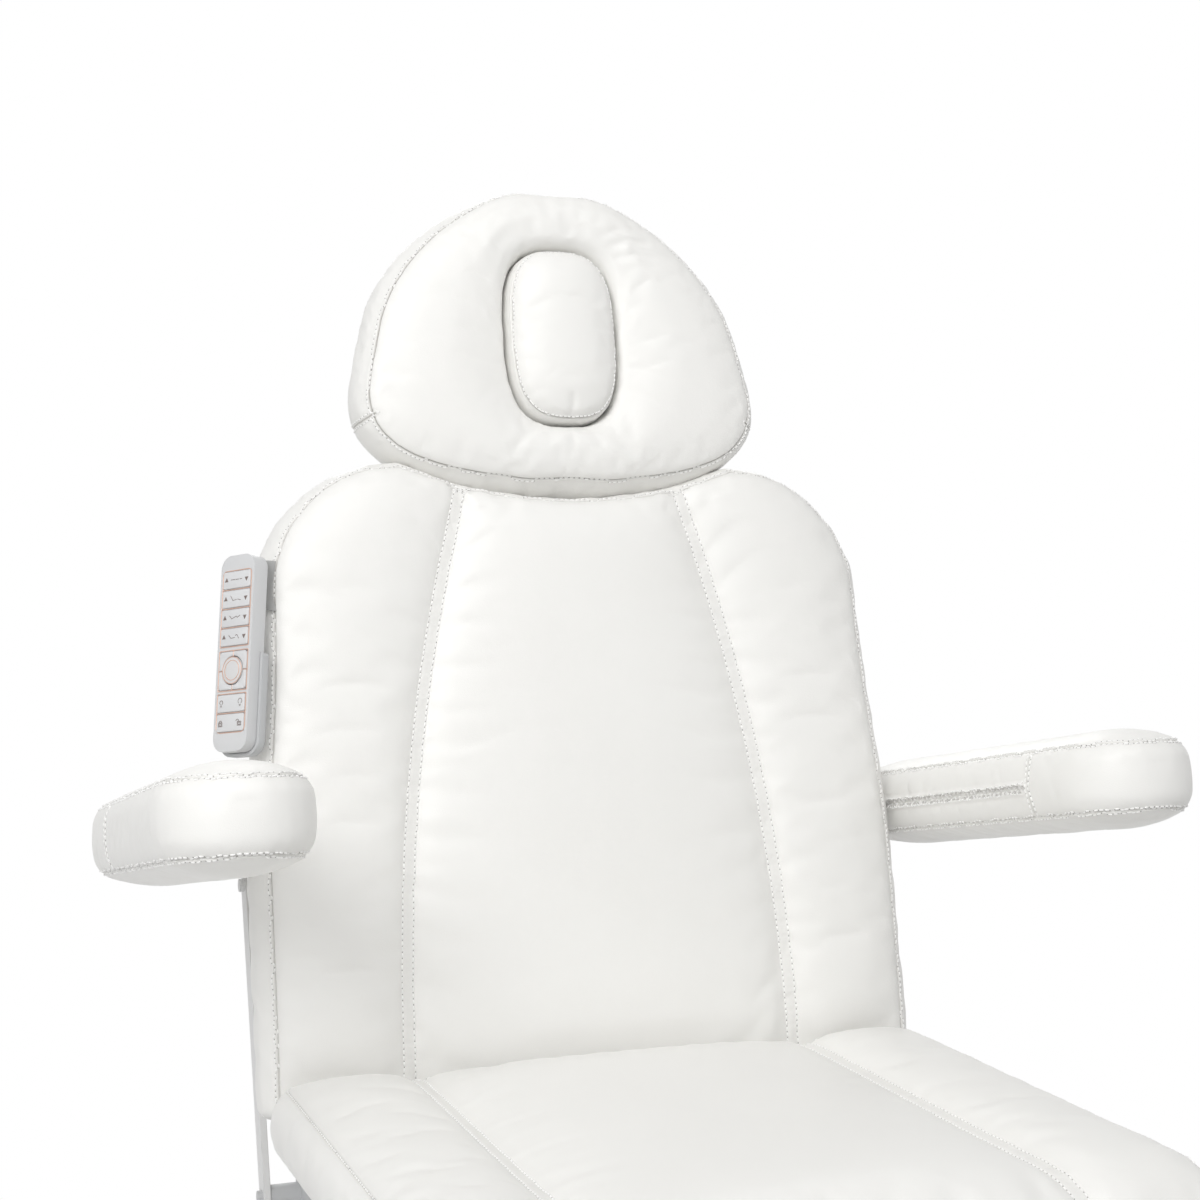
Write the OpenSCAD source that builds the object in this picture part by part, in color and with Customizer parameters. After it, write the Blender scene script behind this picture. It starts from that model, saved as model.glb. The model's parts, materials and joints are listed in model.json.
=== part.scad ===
// Electric treatment chair: seat, backrest, leg rest, headrest and arm pads on a lifting column.
// X points to the sitter's left, -Y to the feet, Z up. The origin is the column's axis on the floor.

/* [Seat] */
// Width of the seat cushion over its bulging sides
seat_w = 620; // [540:10:700]
// Length of the seat cushion
seat_len = 490; // [450:5:520]
// Height of the seat's surface above the floor, column down
seat_h = 600; // [590:5:640]
// Height of a cushion's sewn side wall
wall_h = 60; // [50:1:70]
// How far the panels rise above the seams
crown = 13; // [6:1:16]
// How far a cushion's side walls bulge
bulge = 15; // [6:1:18]
// Distance of the seat's seams from the middle
seat_seam = 187; // [150:1:200]
// Length of the seat's rolled front edge
roll_len = 72; // [50:1:90]

/* [Backrest] */
// Lean of the backrest from upright, in degrees
back_lean = 11; // [8:1:14]
// Height of the backrest at its shoulders
back_len = 554; // [530:1:570]
// How deep the neck edge dips below the shoulders
neck_dip = 33; // [10:1:40]
// Radius of the shoulder corners
shoulder_r = 124; // [90:1:130]
// Distance of the backrest's seams from the middle at the neck
neck_seam = 110; // [90:1:125]

/* [Leg rest] */
// Height of the leg rest's lower end over the base cover, at rest
leg_clear = 41.4; // [30:1:80]
// Angle by which the leg rest hangs down at rest
leg_drop = 78; // [70:1:82]
// Radius of the leg rest's lower corners
leg_corner_r = 60; // [30:1:80]

/* [Headrest] */
// Half width of the headrest at its middle
head_half_w = 178; // [160:1:190]
// Half height of the headrest
head_half_h = 141; // [130:1:150]
// Share by which the headrest narrows upwards
head_taper_share = 0.35; // [0.2:0.01:0.4]
// Width of the face hole
face_w = 112; // [96:1:124]
// Height of the face hole
face_h = 174; // [150:1:180]

/* [Arm pads] */
// Width of an arm pad at its seam
arm_w = 106; // [84:1:112]
// Length of an arm pad
arm_len = 440; // [380:2:480]
// Height between an arm pad's two seams
arm_wall_h = 60; // [44:1:66]
// Pitch of the arm pads, front end up, in degrees
arm_pitch = 9.5; // [6:0.5:12]
// Gap between the seat's side and the arm pad
arm_gap = 22; // [19:1:32]

/* [Column and base] */
// Width of the base cover
base_w = 500; // [440:5:560]
// Length of the base cover
base_len = 800; // [760:5:830]
// Height of the base cover at its edge
base_h = 58; // [54:1:64]
// Width of the column's outer tube
column_w = 160; // [150:1:166]
// Travel of each of the column's two stages
stage_travel = 150; // [120:5:155]

/* [Hand control] */
// Length of the hand control
hand_len = 176; // [172:1:190]
// Width of the hand control
hand_w = 42; // [40:1:46]
// Thickness of the hand control
hand_t = 16; // [15:1:20]

/* [Hidden] */

$fn = 48;
// Clearances: turning fit, sliding fit, visible seat of a loose piece
turn_gap = 0.06;
slide_gap = 0.3;
rest_gap = 0.3;
// Overrun of every cut
over = 1;

white = [0.93, 0.93, 0.92];
grey_blue = [0.62, 0.66, 0.70];
steel = [0.55, 0.56, 0.58];
dark = [0.16, 0.17, 0.18];
wood = [0.72, 0.60, 0.44];
bright = [0.82, 0.82, 0.85];

// Cushion values
seat_half = seat_w / 2 - bulge;
rear_gap = 13;
hip_y = 210;
tuck = 10;
tiny = 0.001;
seat_corner_r = 24;
back_ease = 3;
leg_ease = 5;
hinge_quiet = 40;
leg_seam_in = 4;
leg_seam_out = 14;
grid_in_shares = [0, 0.35, 0.7, 0.9, 1];
grid_out_shares = [0.1, 0.35, 0.65, 0.9, 1];
end_len = 95;
end_step_shares = [0, 0.04, 0.15, 0.34, 0.63, 1];
end_steps = [for (s = end_step_shares) s * end_len];
wall_ring_shares = [[1, 0, 1], [0.8, 0.72, 0.3], [0.5, 1, 0.3], [0.2, 0.62, 0.3], [0, -0.27, 0.5]];
lobe_shares = [2.4, 0.7];
roll_low_share = 0.12;
crown_edge = 70;

// Boards, tubes, plates
board_t = 15;
panel_t = 12;
tube = 25;
tube_h = 30;
tube_wall = 2;
plate_t = 6;
pin_r = 8;
link_pin_r = 6;
seat_rail_in = 85;
back_rail_in = 60;
leg_rail_in = 105;
seat_rail_x = seat_w / 2 - seat_rail_in;
back_rail_x = seat_w / 2 - back_rail_in;
leg_rail_x = seat_w / 2 - leg_rail_in;
frame_top = seat_h - wall_h - board_t;
seat_rear = hip_y - rear_gap;
seat_front = seat_rear - seat_len;

// Hinges: distances from the hip line (seat's surface meets backrest's surface)
hinge_drop = 64;
hinge_back = 52;
hinge_y = hip_y + hinge_back;
hinge_z = seat_h - hinge_drop;
leg_hinge_drop = 80;
leg_hinge_y = hip_y - rear_gap - seat_len;
leg_hinge_z = seat_h - leg_hinge_drop;
// The back hinge in the backrest's own frame: along the surface and behind it
hinge_s = hinge_back * sin(back_lean) - hinge_drop * cos(back_lean);
hinge_t = hinge_back * cos(back_lean) + hinge_drop * sin(back_lean);
back_start = -25;
back_rear = wall_h + panel_t;

// Actuators: the lever's pin and the case's pivot, from the hinge that each one moves, in Y and Z
back_lever_y = 57.3;
back_lever_z = -40.2;
back_base_y = -250;
back_base_z = -85;
back_travel = 79;
leg_lever_y = 18.1;
leg_lever_z = -67.6;
leg_base_y = 278;
leg_base_z = -65;
leg_travel = leg_drop;
tilt_lever_y = -190;
tilt_lever_z = 38;
tilt_base_y = -150;
tilt_base_z = -190;
tilt_travel = 15;
back_lever = [back_lever_y, back_lever_z];
back_base = [back_base_y, back_base_z];
leg_lever = [leg_lever_y, leg_lever_z];
leg_base = [leg_base_y, leg_base_z];
tilt_lever = [tilt_lever_y, tilt_lever_z];
tilt_base = [tilt_base_y, tilt_base_z];
tilt_pivot_drop = 160;
tilt_pivot_z = seat_h - tilt_pivot_drop;
tilt_pin_r = 10;
actuator_x = 130;
eye_r = 12;
eye_w = 18;
rod_r = 8;
case_r = 14;
lug_t = 6;
lug_gap = 1;
lug_x = eye_w / 2 + lug_gap;

function turn(p, a) = [p[0] * cos(a) - p[1] * sin(a), p[0] * sin(a) + p[1] * cos(a)];
function span(p) = norm(p);
function heading(p) = atan2(p[1], p[0]);
// Where the rod's end really stands in the lever's frame when the actuator turns and slides steadily
function slot_point(base, lever, travel, share) =
    let (first = lever - base, last = turn(lever, -travel) - base,
        way = span(first) + share * (span(last) - span(first)),
        swing = heading(last) - heading(first),
        near = swing > 180 ? swing - 360 : swing < -180 ? swing + 360 : swing,
        dir = heading(first) + share * near)
    turn(base + way * [cos(dir), sin(dir)], share * travel);

// Outline of a rectangle with round corners; radii are for the low and the high end in Y
function round_outline(w, y0, y1, r0, r1, n = 6) = concat(
    [for (i = [0:n]) let (a = 180 + 90 * i / n) [-w / 2 + r0 + r0 * cos(a), y0 + r0 + r0 * sin(a)]],
    [for (i = [0:n]) let (a = 270 + 90 * i / n) [w / 2 - r0 + r0 * cos(a), y0 + r0 + r0 * sin(a)]],
    [for (i = [0:n]) let (a = 90 * i / n) [w / 2 - r1 + r1 * cos(a), y1 - r1 + r1 * sin(a)]],
    [for (i = [0:n]) let (a = 90 + 90 * i / n) [-w / 2 + r1 + r1 * cos(a), y1 - r1 + r1 * sin(a)]]);

module slab(w, d, h, r) linear_extrude(h) polygon(round_outline(w, -d / 2, d / 2, r, r));

// A flat plate in the YZ plane with a round corner about each centre; the centres turn to the left
function round_plate(c, r, step = 11.25) = let (m = len(c)) [for (i = [0:m - 1])
    let (from = heading(c[i] - c[(i + m - 1) % m]) - 90, to = heading(c[(i + 1) % m] - c[i]) - 90,
        sweep = (to - from + 720) % 360, n = ceil(sweep / step - tiny))
    for (k = [0:n]) c[i] + r * [cos(from + sweep * k / n), sin(from + sweep * k / n)]];
function turning_left(c) = cross(c[1] - c[0], c[2] - c[0]) > 0 ? c : [c[2], c[1], c[0]];
module yz_plate(centres, r, t) rotate([90, 0, 90]) linear_extrude(t) polygon(round_plate(centres, r));
module link_bar(a, b, r, t) yz_plate([a, b], r, t);

module x_rod(r, x0, x1, y = 0, z = 0)
    translate([x0, y, z]) rotate([0, 90, 0]) cylinder(r = r, h = x1 - x0);

module square_tube(len, w = tube, h = tube, wall = tube_wall) difference() {
    translate([-w / 2, 0, -h / 2]) cube([w, len, h]);
    translate([-w / 2 + wall, -over, -h / 2 + wall]) cube([w - 2 * wall, len + 2 * over, h - 2 * wall]);
}

module cross_tube(half, y, z, w = tube, h = tube)
    translate([-half, y, z]) rotate([0, 0, -90]) square_tube(2 * half, w, h);

module at_hip() translate([0, hip_y, seat_h]) children();
module at_back() at_hip() rotate([-back_lean, 0, 0]) children();
// Children lie flat with +Z away from the cushion's base, +Y up along the backrest
module in_back_plane(t) at_back() translate([0, t, 0]) rotate([90, 0, 0]) children();
module at_leg() translate([0, leg_hinge_y, leg_hinge_z]) rotate([leg_drop, 0, 0]) children();

// Sewn panel cushions: a grid of points with rows along the length and columns on the seams
grid_u = concat([for (i = [4:-1:0]) -1 - grid_out_shares[i]], [for (i = [4:-1:1]) -grid_in_shares[i]],
    grid_in_shares, [for (s = grid_out_shares) 1 + s]);
last_col = len(grid_u) - 1;
function rows_of(l, mid = 5) = concat(end_steps,
    [for (i = [1:mid - 1]) end_steps[5] + i * (l - 2 * end_steps[5]) / mid],
    [for (i = [5:-1:0]) l - end_steps[i]]);
function lobe(u) = let (q = abs(u) <= 1 ? abs(u) : abs(2 * abs(u) - 3))
    pow(max(0, 1 - pow(q, lobe_shares[0])), lobe_shares[1]);
function ease(d) = let (q = 1 - min(1, d / crown_edge)) sqrt(max(0, 1 - q * q));
function half_at(w, l, l1, r) = l <= l1 - r ? w : w - r + sqrt(max(0, r * r - pow(l - l1 + r, 2)));
function roll_at(d, r) = d >= r ? 1
    : let (q = 1 - d / r) roll_low_share + (1 - roll_low_share) * sqrt(max(0, 1 - q * q));
function loop_of(grid) = let (n = len(grid) - 1, m = last_col) concat(
    [for (j = [0:m]) grid[0][j]], [for (i = [1:n]) grid[i][m]],
    [for (j = [m - 1:-1:0]) grid[n][j]], [for (i = [n - 1:-1:1]) grid[i][0]]);
function outward(loop, i) = let (n = len(loop), a = loop[(i + n - 1) % n], b = loop[(i + 1) % n],
    d = [b[1] - a[1], a[0] - b[0]]) d / max(tiny, norm(d));
function ring_out(loop, z_share, out, end_share) = [for (i = [0:len(loop) - 1])
    let (v = outward(loop, i), k = out * (abs(v[1]) * end_share + (1 - abs(v[1]))))
    [loop[i][0] + v[0] * k, loop[i][1] + v[1] * k, loop[i][2] * z_share]];

module sewn_pad(w, len, seam0, seam1, corner_r, dip = 0, roll = 0, quiet = 0, seam_pow = 2.2) {
    rows = rows_of(len);
    n = len(rows) - 1;
    m = last_col;
    top = [for (l = rows)
        let (half = half_at(w, l, len, corner_r),
            v = l / len,
            seam = seam0 + (seam1 - seam0) * pow(v, seam_pow),
            fall = roll > 0 ? roll_at(len - l, roll) : 1)
        [for (u = grid_u)
            let (x = abs(u) <= 1 ? u * seam : sign(u) * (seam + (abs(u) - 1) * (half - seam)),
                y = l - dip * v * (1 - pow(x / half, 2)),
                near = max(0, min(l - quiet, roll > 0 ? len : len - l)))
            [x, y, wall_h * fall + crown * lobe(u) * ease(near) * fall]]];
    edge = loop_of(top);
    // Rings of the side wall: height share, bulge share, and the share of it at the ends
    wall = [for (s = wall_ring_shares) ring_out(edge, s[0], bulge * s[1], s[2])];
    e = len(edge);
    t0 = (n + 1) * (m + 1);
    bottom_edge = [for (i = [0:e - 1]) t0 + 4 * e - e + i];
    grid_ids = [for (i = [0:n]) [for (j = [0:m]) i * (m + 1) + j]];
    edge_ids = loop_of(grid_ids);
    function ring_id(k, i) = k == 0 ? edge_ids[i % e] : t0 + (k - 1) * e + i % e;
    // Bottom: rows joined by strips between the left and the right edge
    function low(i, side) = ring_id(4, side > 0 ? (i == 0 ? m : m + i) : (i == 0 ? 0 : e - i));
    polyhedron(
        points = concat([for (r = top) each r], wall[1], wall[2], wall[3], wall[4]),
        faces = concat(
            [for (i = [0:n - 1], j = [0:m - 1]) each [
                [grid_ids[i][j], grid_ids[i + 1][j + 1], grid_ids[i][j + 1]],
                [grid_ids[i][j], grid_ids[i + 1][j], grid_ids[i + 1][j + 1]]]],
            [for (k = [0:3], i = [0:e - 1]) each [
                [ring_id(k, i), ring_id(k, i + 1), ring_id(k + 1, i + 1)],
                [ring_id(k, i), ring_id(k + 1, i + 1), ring_id(k + 1, i)]]],
            [for (i = [1:n - 2]) each [
                [low(i, -1), low(i, 1), low(i + 1, 1)],
                [low(i, -1), low(i + 1, 1), low(i + 1, -1)]]],
            [for (j = [0:m - 1]) [ring_id(4, j), ring_id(4, j + 1), low(1, -1)]],
            [[low(1, -1), ring_id(4, m), low(1, 1)]],
            [for (j = [m - 1:-1:0]) let (a = m + n + (m - 1 - j))
                [ring_id(4, a), ring_id(4, a + 1), low(n - 1, 1)]],
            [[low(n - 1, 1), low(n, -1), low(n - 1, -1)]]));
}

// Pads built from rings of equally many points; the rings run from the inside out and down
module ring_pad(rings, hollow = false) {
    a = len(rings[0]);
    k = len(rings);
    function id(r, i) = r * a + i % a;
    body = [for (r = [0:k - 2], i = [0:a - 1]) each [
        [id(r, i), id(r + 1, i + 1), id(r, i + 1)], [id(r, i), id(r + 1, i), id(r + 1, i + 1)]]];
    seam = hollow
        ? [for (i = [0:a - 1]) each [
            [id(k - 1, i), id(0, i + 1), id(k - 1, i + 1)],
            [id(k - 1, i), id(0, i), id(0, i + 1)]]]
        : concat([for (i = [1:a - 2]) [id(0, 0), id(0, i), id(0, i + 1)]],
            [for (i = [1:a - 2]) [id(k - 1, 0), id(k - 1, i + 1), id(k - 1, i)]]);
    polyhedron(points = [for (r = rings) each r], faces = concat(body, seam));
}
function lift(points, z) = [for (p = points) [p[0], p[1], z]];

// Base
cover_t = 4;
base_plate_t = 6;
foot_h = 18;
foot_r = 24;
foot_pad_h = 8;
foot_neck_r = 12;
foot_taper_share = 0.8;
foot_bolt_r = 5;
foot_bolt_proud = 12;
foot_in_x = 52;
foot_in_y = 60;
foot_x = base_w / 2 - foot_in_x;
foot_y = base_len / 2 - foot_in_y;
base_y = 25;
plate_in_edge = 15;
plate_corner_r = 40;
runner_out = 30;
runner_in = 60;
cover_floor_gap = 12;
cover_step = 12;
cover_corner_r = 55;
turret_margin = 30;
turret_rise = 48;
turret_r = 30;
turret_w = column_w + 2 * turret_margin;
turret_h = base_h + turret_rise;
stage_gap = 0.35;
column_wall = 5;
column_corner_r = 14;
column_hole_r = 12;
middle_w = column_w - 2 * column_wall;
inner_w = middle_w - 2 * column_wall;
column_low = foot_h + base_plate_t;
outer_top_drop = 270;
outer_top = seat_h - outer_top_drop;
stage_step = 20;
head_drop = 230;
head_z = seat_h - head_drop;
head_t = 12;
head_w = 156;
sleeve_r = 20;
sleeve_start = 14;
sleeve_more = 12;
lift_rod_r = 12;
lift_case_r = 27;
lift_gear_w = 84;
lift_gear_h = 30;
lift_floor = 8;
box_w = 170;
box_d = 110;
box_h = 28;
box_gap = 105;
box_corner_r = 8;
inlet_w = 70;
inlet_d = 34;
inlet_h = 26;
inlet_recess = 6;
inlet_cut = 20;
socket_w = 26;
socket_h = 18;
socket_d = 18;
socket_in = 6;
socket_low = 4;
rocker_w = 18;
rocker_h = 14;
rocker_d = 15;
rocker_in = 7;
rocker_low = 5;
rocker_play = 1;
switch_in = 13;
switch_d = 8;
switch_back = 2;

module corners(x, y) for (i = [-1, 1], j = [-1, 1]) translate([i * x, j * y, 0]) children();

module base_plate() color(steel) translate([0, base_y, foot_h]) difference() {
    union() {
        slab(base_w - 2 * plate_in_edge, base_len - 2 * plate_in_edge, base_plate_t, plate_corner_r);
        for (i = [-1, 1])
            translate([i * (column_w / 2 + runner_out), runner_in - base_len / 2, base_plate_t + tube / 2])
                square_tube(base_len - 2 * runner_in);
    }
    corners(foot_x, foot_y) translate([0, 0, -over])
        cylinder(r = foot_bolt_r + turn_gap, h = base_plate_t + 2 * over);
}

module levelling_feet() color(dark) translate([0, base_y, 0]) corners(foot_x, foot_y) {
    cylinder(r = foot_r, h = foot_pad_h);
    translate([0, 0, foot_pad_h])
        cylinder(r1 = foot_r * foot_taper_share, r2 = foot_neck_r, h = foot_h - foot_pad_h);
    cylinder(r = foot_bolt_r, h = column_low + foot_bolt_proud);
}

// The cover's outer shape, or the room inside it when it is drawn in by a wall
module cover_form(wall) {
    low = cover_floor_gap;
    translate([0, base_y, 0]) {
        slab(base_w - 2 * wall, base_len - 2 * wall, base_h - cover_step - low - wall, cover_corner_r - wall);
        slab(base_w - 2 * cover_step - 2 * wall, base_len - 2 * cover_step - 2 * wall,
            base_h - low - wall, cover_corner_r - cover_step - wall);
    }
    slab(turret_w - 2 * wall, turret_w - 2 * wall, turret_h - low - wall, turret_r - wall);
}
module base_cover() color(white) difference() {
    translate([0, 0, cover_floor_gap]) cover_form(0);
    translate([0, 0, cover_floor_gap]) cover_form(cover_t);
    translate([0, base_y, cover_floor_gap - over])
        slab(base_w - 2 * cover_t, base_len - 2 * cover_t, 2 * over, cover_corner_r - cover_t);
    slab(column_w + 2 * slide_gap, column_w + 2 * slide_gap, turret_h + over, column_corner_r);
    translate([-inlet_w / 2 - slide_gap, inlet_y - inlet_cut, column_low - rest_gap])
        cube([inlet_w + 2 * slide_gap, 2 * inlet_cut, inlet_h + 2 * rest_gap]);
}

module control_box() color(dark) translate([0, column_w / 2 + box_gap + box_d / 2, column_low])
    slab(box_w, box_d, box_h, box_corner_r);

inlet_y = base_y + base_len / 2;
rocker_x = inlet_w / 2 - rocker_in - rocker_w;
module power_inlet() color(dark) translate([0, inlet_y - inlet_recess, column_low]) difference() {
    translate([-inlet_w / 2, -inlet_d, 0]) cube([inlet_w, inlet_d, inlet_h]);
    translate([-inlet_w / 2 + socket_in, -socket_d, socket_low]) cube([socket_w, socket_d + over, socket_h]);
    translate([rocker_x, -rocker_d, rocker_low])
        cube([rocker_w, rocker_d + over, rocker_h + 2 * rocker_play]);
}

switch_y = inlet_y - switch_in;
switch_z = column_low + rocker_low + rocker_play + rocker_h / 2;
module mains_switch() color([0.75, 0.1, 0.08]) translate([rocker_x, switch_y, switch_z]) intersection() {
    translate([slide_gap, -switch_back, -rocker_h / 2]) cube([rocker_w - 2 * slide_gap, switch_d, rocker_h]);
    x_rod(rocker_h / 2, 0, rocker_w);
}

// Column
module box_tube(w, hole, z0, z1) translate([0, 0, z0]) difference() {
    slab(w, w, z1 - z0, column_corner_r);
    translate([0, 0, -over]) slab(hole, hole, z1 - z0 + 2 * over, column_hole_r);
}
module column_outer() color(grey_blue)
    box_tube(column_w, middle_w + 2 * stage_gap, column_low, outer_top);
module column_middle() color(grey_blue)
    box_tube(middle_w, inner_w + 2 * stage_gap, column_low + stage_step, outer_top + stage_step);
module column_inner() color(grey_blue)
    box_tube(inner_w, inner_w - 2 * column_wall, column_low + 2 * stage_step, head_z);
module lift_actuator() color(dark) translate([0, 0, column_low]) difference() {
    union() {
        cylinder(r = lift_case_r, h = outer_top - column_low);
        translate([-lift_gear_w / 2, -lift_gear_w / 2, 0]) cube([lift_gear_w, lift_gear_w, lift_gear_h]);
    }
    translate([0, 0, lift_floor]) cylinder(r = sleeve_r + slide_gap, h = outer_top);
}
module lift_sleeve() color(steel) translate([0, 0, column_low + sleeve_start]) difference() {
    cylinder(r = sleeve_r, h = outer_top - column_low + sleeve_more);
    translate([0, 0, lift_floor]) cylinder(r = lift_rod_r + slide_gap, h = outer_top);
}
module lift_rod() color(bright) translate([0, 0, column_low + 2 * stage_step])
    cylinder(r = lift_rod_r, h = head_z - column_low - 2 * stage_step);

// Two plates with a gap between them for an actuator's eye
module pair_of_lugs(x) for (i = [-1, 1])
    translate([x + i * (lug_x + lug_t / 2) - lug_t / 2, 0, 0]) children();

ear_x = 62;
cheek_t = 10;
cheek_r = 20;
cheek_low = 21;
pin_proud = 12;
bracket_out = 22;
bracket_root = 14;
bracket_rise = 9;
bracket_r = 9;
bracket_y = -column_w / 2 - bracket_out;
module column_head() color(steel) {
    bracket_path = [[bracket_root - head_w / 2, head_z + bracket_rise], [bracket_y, head_z + bracket_rise],
        [bracket_y, tilt_base_z + tilt_pivot_z], [tilt_base_y, tilt_base_z + tilt_pivot_z]];
    translate([0, 0, head_z]) slab(head_w, head_w, head_t, column_corner_r);
    for (i = [-1, 1]) translate([i * ear_x - cheek_t / 2, 0, 0])
        link_bar([0, head_z + cheek_low], tilt_hinge, cheek_r, cheek_t);
    x_rod(tilt_pin_r, -ear_x - pin_proud, ear_x + pin_proud, 0, tilt_pivot_z);
    pair_of_lugs(0) for (k = [0:2]) link_bar(bracket_path[k], bracket_path[k + 1], bracket_r, lug_t);
    x_rod(link_pin_r, -lug_x - lug_t, lug_x + lug_t, tilt_base_y, tilt_base_z + tilt_pivot_z);
}

// Actuators lie along +Y from their rear eye at the origin
gear_l = 46;
gear_w = 40;
gear_h = 32;
gear_start = 4;
gear_bite = 2;
motor_r = 20;
motor_l = 96;
motor_sink = 4;
motor_start = 8;
case_short = 12;
bore_start = 30;
rod_short = 1;
pin_end = 3;
tilt_rod_in = 56;
back_rod_in = 130;
leg_rod_in = 60;
module actuator_case(closed) color(grey_blue) difference() {
    union() {
        x_rod(eye_r, -eye_w / 2, eye_w / 2);
        translate([-eye_w / 2, 0, -eye_r]) cube([eye_w, eye_r + gear_start + gear_bite, 2 * eye_r]);
        translate([-gear_w / 2, eye_r + gear_start, -gear_h / 2]) cube([gear_w, gear_l, gear_h]);
        translate([0, eye_r + gear_l, 0]) rotate([-90, 0, 0])
            cylinder(r = case_r, h = closed - 2 * eye_r - gear_l - case_short);
        translate([gear_w / 2 + motor_r - motor_sink, eye_r + motor_start, 0]) rotate([-90, 0, 0])
            cylinder(r = motor_r, h = motor_l);
    }
    x_rod(link_pin_r + turn_gap, -eye_w / 2 - over, eye_w / 2 + over);
    translate([0, bore_start, 0]) rotate([-90, 0, 0]) cylinder(r = rod_r + turn_gap, h = closed);
}
module actuator_rod(reach, inner) color(bright) {
    translate([0, inner, 0]) rotate([-90, 0, 0])
        cylinder(r = rod_r, h = reach - inner - link_pin_r - rod_short);
    x_rod(eye_r, -eye_w / 2, eye_w / 2, reach, 0);
    x_rod(link_pin_r, -lug_x - lug_t - pin_end, lug_x + lug_t + pin_end, reach, 0);
}
module at_actuator(hinge, base, lever, x) translate([x, hinge[0] + base[0], hinge[1] + base[1]])
    rotate([heading(lever - base), 0, 0]) children();
back_hinge = [hinge_y, hinge_z];
leg_hinge = [leg_hinge_y, leg_hinge_z];
tilt_hinge = [0, tilt_pivot_z];
back_reach = span(back_lever - back_base);
back_closed = span(turn(back_lever, -back_travel) - back_base);
leg_closed = span(leg_lever - leg_base);
tilt_closed = span(tilt_lever - tilt_base);

// Two lever plates with the slot that the rod's pin runs in
slot_side = 2.8;
lever_r = 13;
tilt_slot_gap = 1;
module lever_slot(base, lever, travel) translate([-eye_w, 0, 0])
    link_bar(lever, slot_point(base, lever, travel, 0.5), link_pin_r + slot_side, 2 * eye_w);
module lever_plates(root, middle, lever) pair_of_lugs(0)
    yz_plate(turning_left([root, middle, lever]), lever_r, lug_t);

module tilt_actuator() at_actuator(tilt_hinge, tilt_base, tilt_lever, 0) actuator_case(tilt_closed);
module tilt_rod() at_actuator(tilt_hinge, tilt_base, tilt_lever, 0) actuator_rod(tilt_closed, tilt_rod_in);
module back_actuator() at_actuator(back_hinge, back_base, back_lever, -actuator_x) actuator_case(back_closed);
module back_rod() at_actuator(back_hinge, back_base, back_lever, -actuator_x)
    actuator_rod(back_reach, back_rod_in);
module leg_actuator() at_actuator(leg_hinge, leg_base, leg_lever, actuator_x)
    mirror([1, 0, 0]) actuator_case(leg_closed);
module leg_rod() at_actuator(leg_hinge, leg_base, leg_lever, actuator_x) actuator_rod(leg_closed, leg_rod_in);

// Seat
rail_z = frame_top - tube_h / 2;
rail_in_front = 18;
rail_in_rear = 8;
rail_front = seat_front + rail_in_front;
rail_rear = seat_rear - rail_in_rear;
hinge_plate_in = 40;
hinge_plate_r = 13;
hinge_plate_low_r = 11;
hinge_plate_drop = 2;
hinge_plate_root = 60;
hinge_plate_tail = 12;
plate_in = seat_w / 2 - hinge_plate_in;
spacer_w = 12;
spacer_h = 16;
spacer_in = 30;
spacer_step = 36;
rail_bite = 0.5;
back_plate_x = back_rail_x + tube / 2 - rail_bite;
leg_plate_root = 30;
leg_plate_drop = 8;
leg_plate_r = 12;
seat_lug_x = 46;
lug_r = 13;
lug_drop = 6;
link_fall = 45;
link_drop = [0, -link_fall];
carrier_in = 14;
carrier_x = seat_w / 2 - carrier_in;
link_play = 1;
link_x = carrier_x + plate_t + link_play;
link_boss_r = 10;
link_pin_end = 4;
hole_reach = 10;
board_in = 30;
board_short = 23;
board_corner_r = 12;

// Mirrors what is built for the sitter's left side
module both_sides() {
    children();
    mirror([1, 0, 0]) children();
}
module seat_lugs(y0, pivot, x) {
    pair_of_lugs(x) link_bar([y0, rail_z - lug_drop], pivot, lug_r, lug_t);
}
module seat_frame() color(steel) difference() {
    union() {
        for (y = [rail_front + tube / 2, tilt_lever_y, 0, rail_rear - tube / 2])
            cross_tube(seat_rail_x - tube / 2, y, rail_z, tube, tube_h);
        both_sides() seat_frame_side();
        seat_lugs(0, back_hinge + back_base, -actuator_x);
        seat_lugs(0, leg_hinge + leg_base, actuator_x);
        seat_lugs(tilt_lever_y, tilt_hinge + tilt_lever, 0);
        x_rod(link_pin_r, -actuator_x - eye_w, -actuator_x + eye_w,
            back_hinge[0] + back_base_y, back_hinge[1] + back_base_z);
        x_rod(link_pin_r, actuator_x - eye_w, actuator_x + eye_w,
            leg_hinge[0] + leg_base_y, leg_hinge[1] + leg_base_z);
    }
    x_rod(tilt_pin_r + turn_gap, -ear_x - pin_proud, ear_x + pin_proud, 0, tilt_pivot_z);
    x_rod(link_pin_r + tilt_slot_gap, -eye_w, eye_w, tilt_lever_y, tilt_pivot_z + tilt_lever_z);
    both_sides() {
        x_rod(pin_r + turn_gap, plate_in - hole_reach, plate_in + hole_reach, hinge_y, hinge_z);
        x_rod(pin_r + turn_gap, seat_rail_x - tube, seat_rail_x + tube, leg_hinge_y, leg_hinge_z);
    }
}
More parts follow.
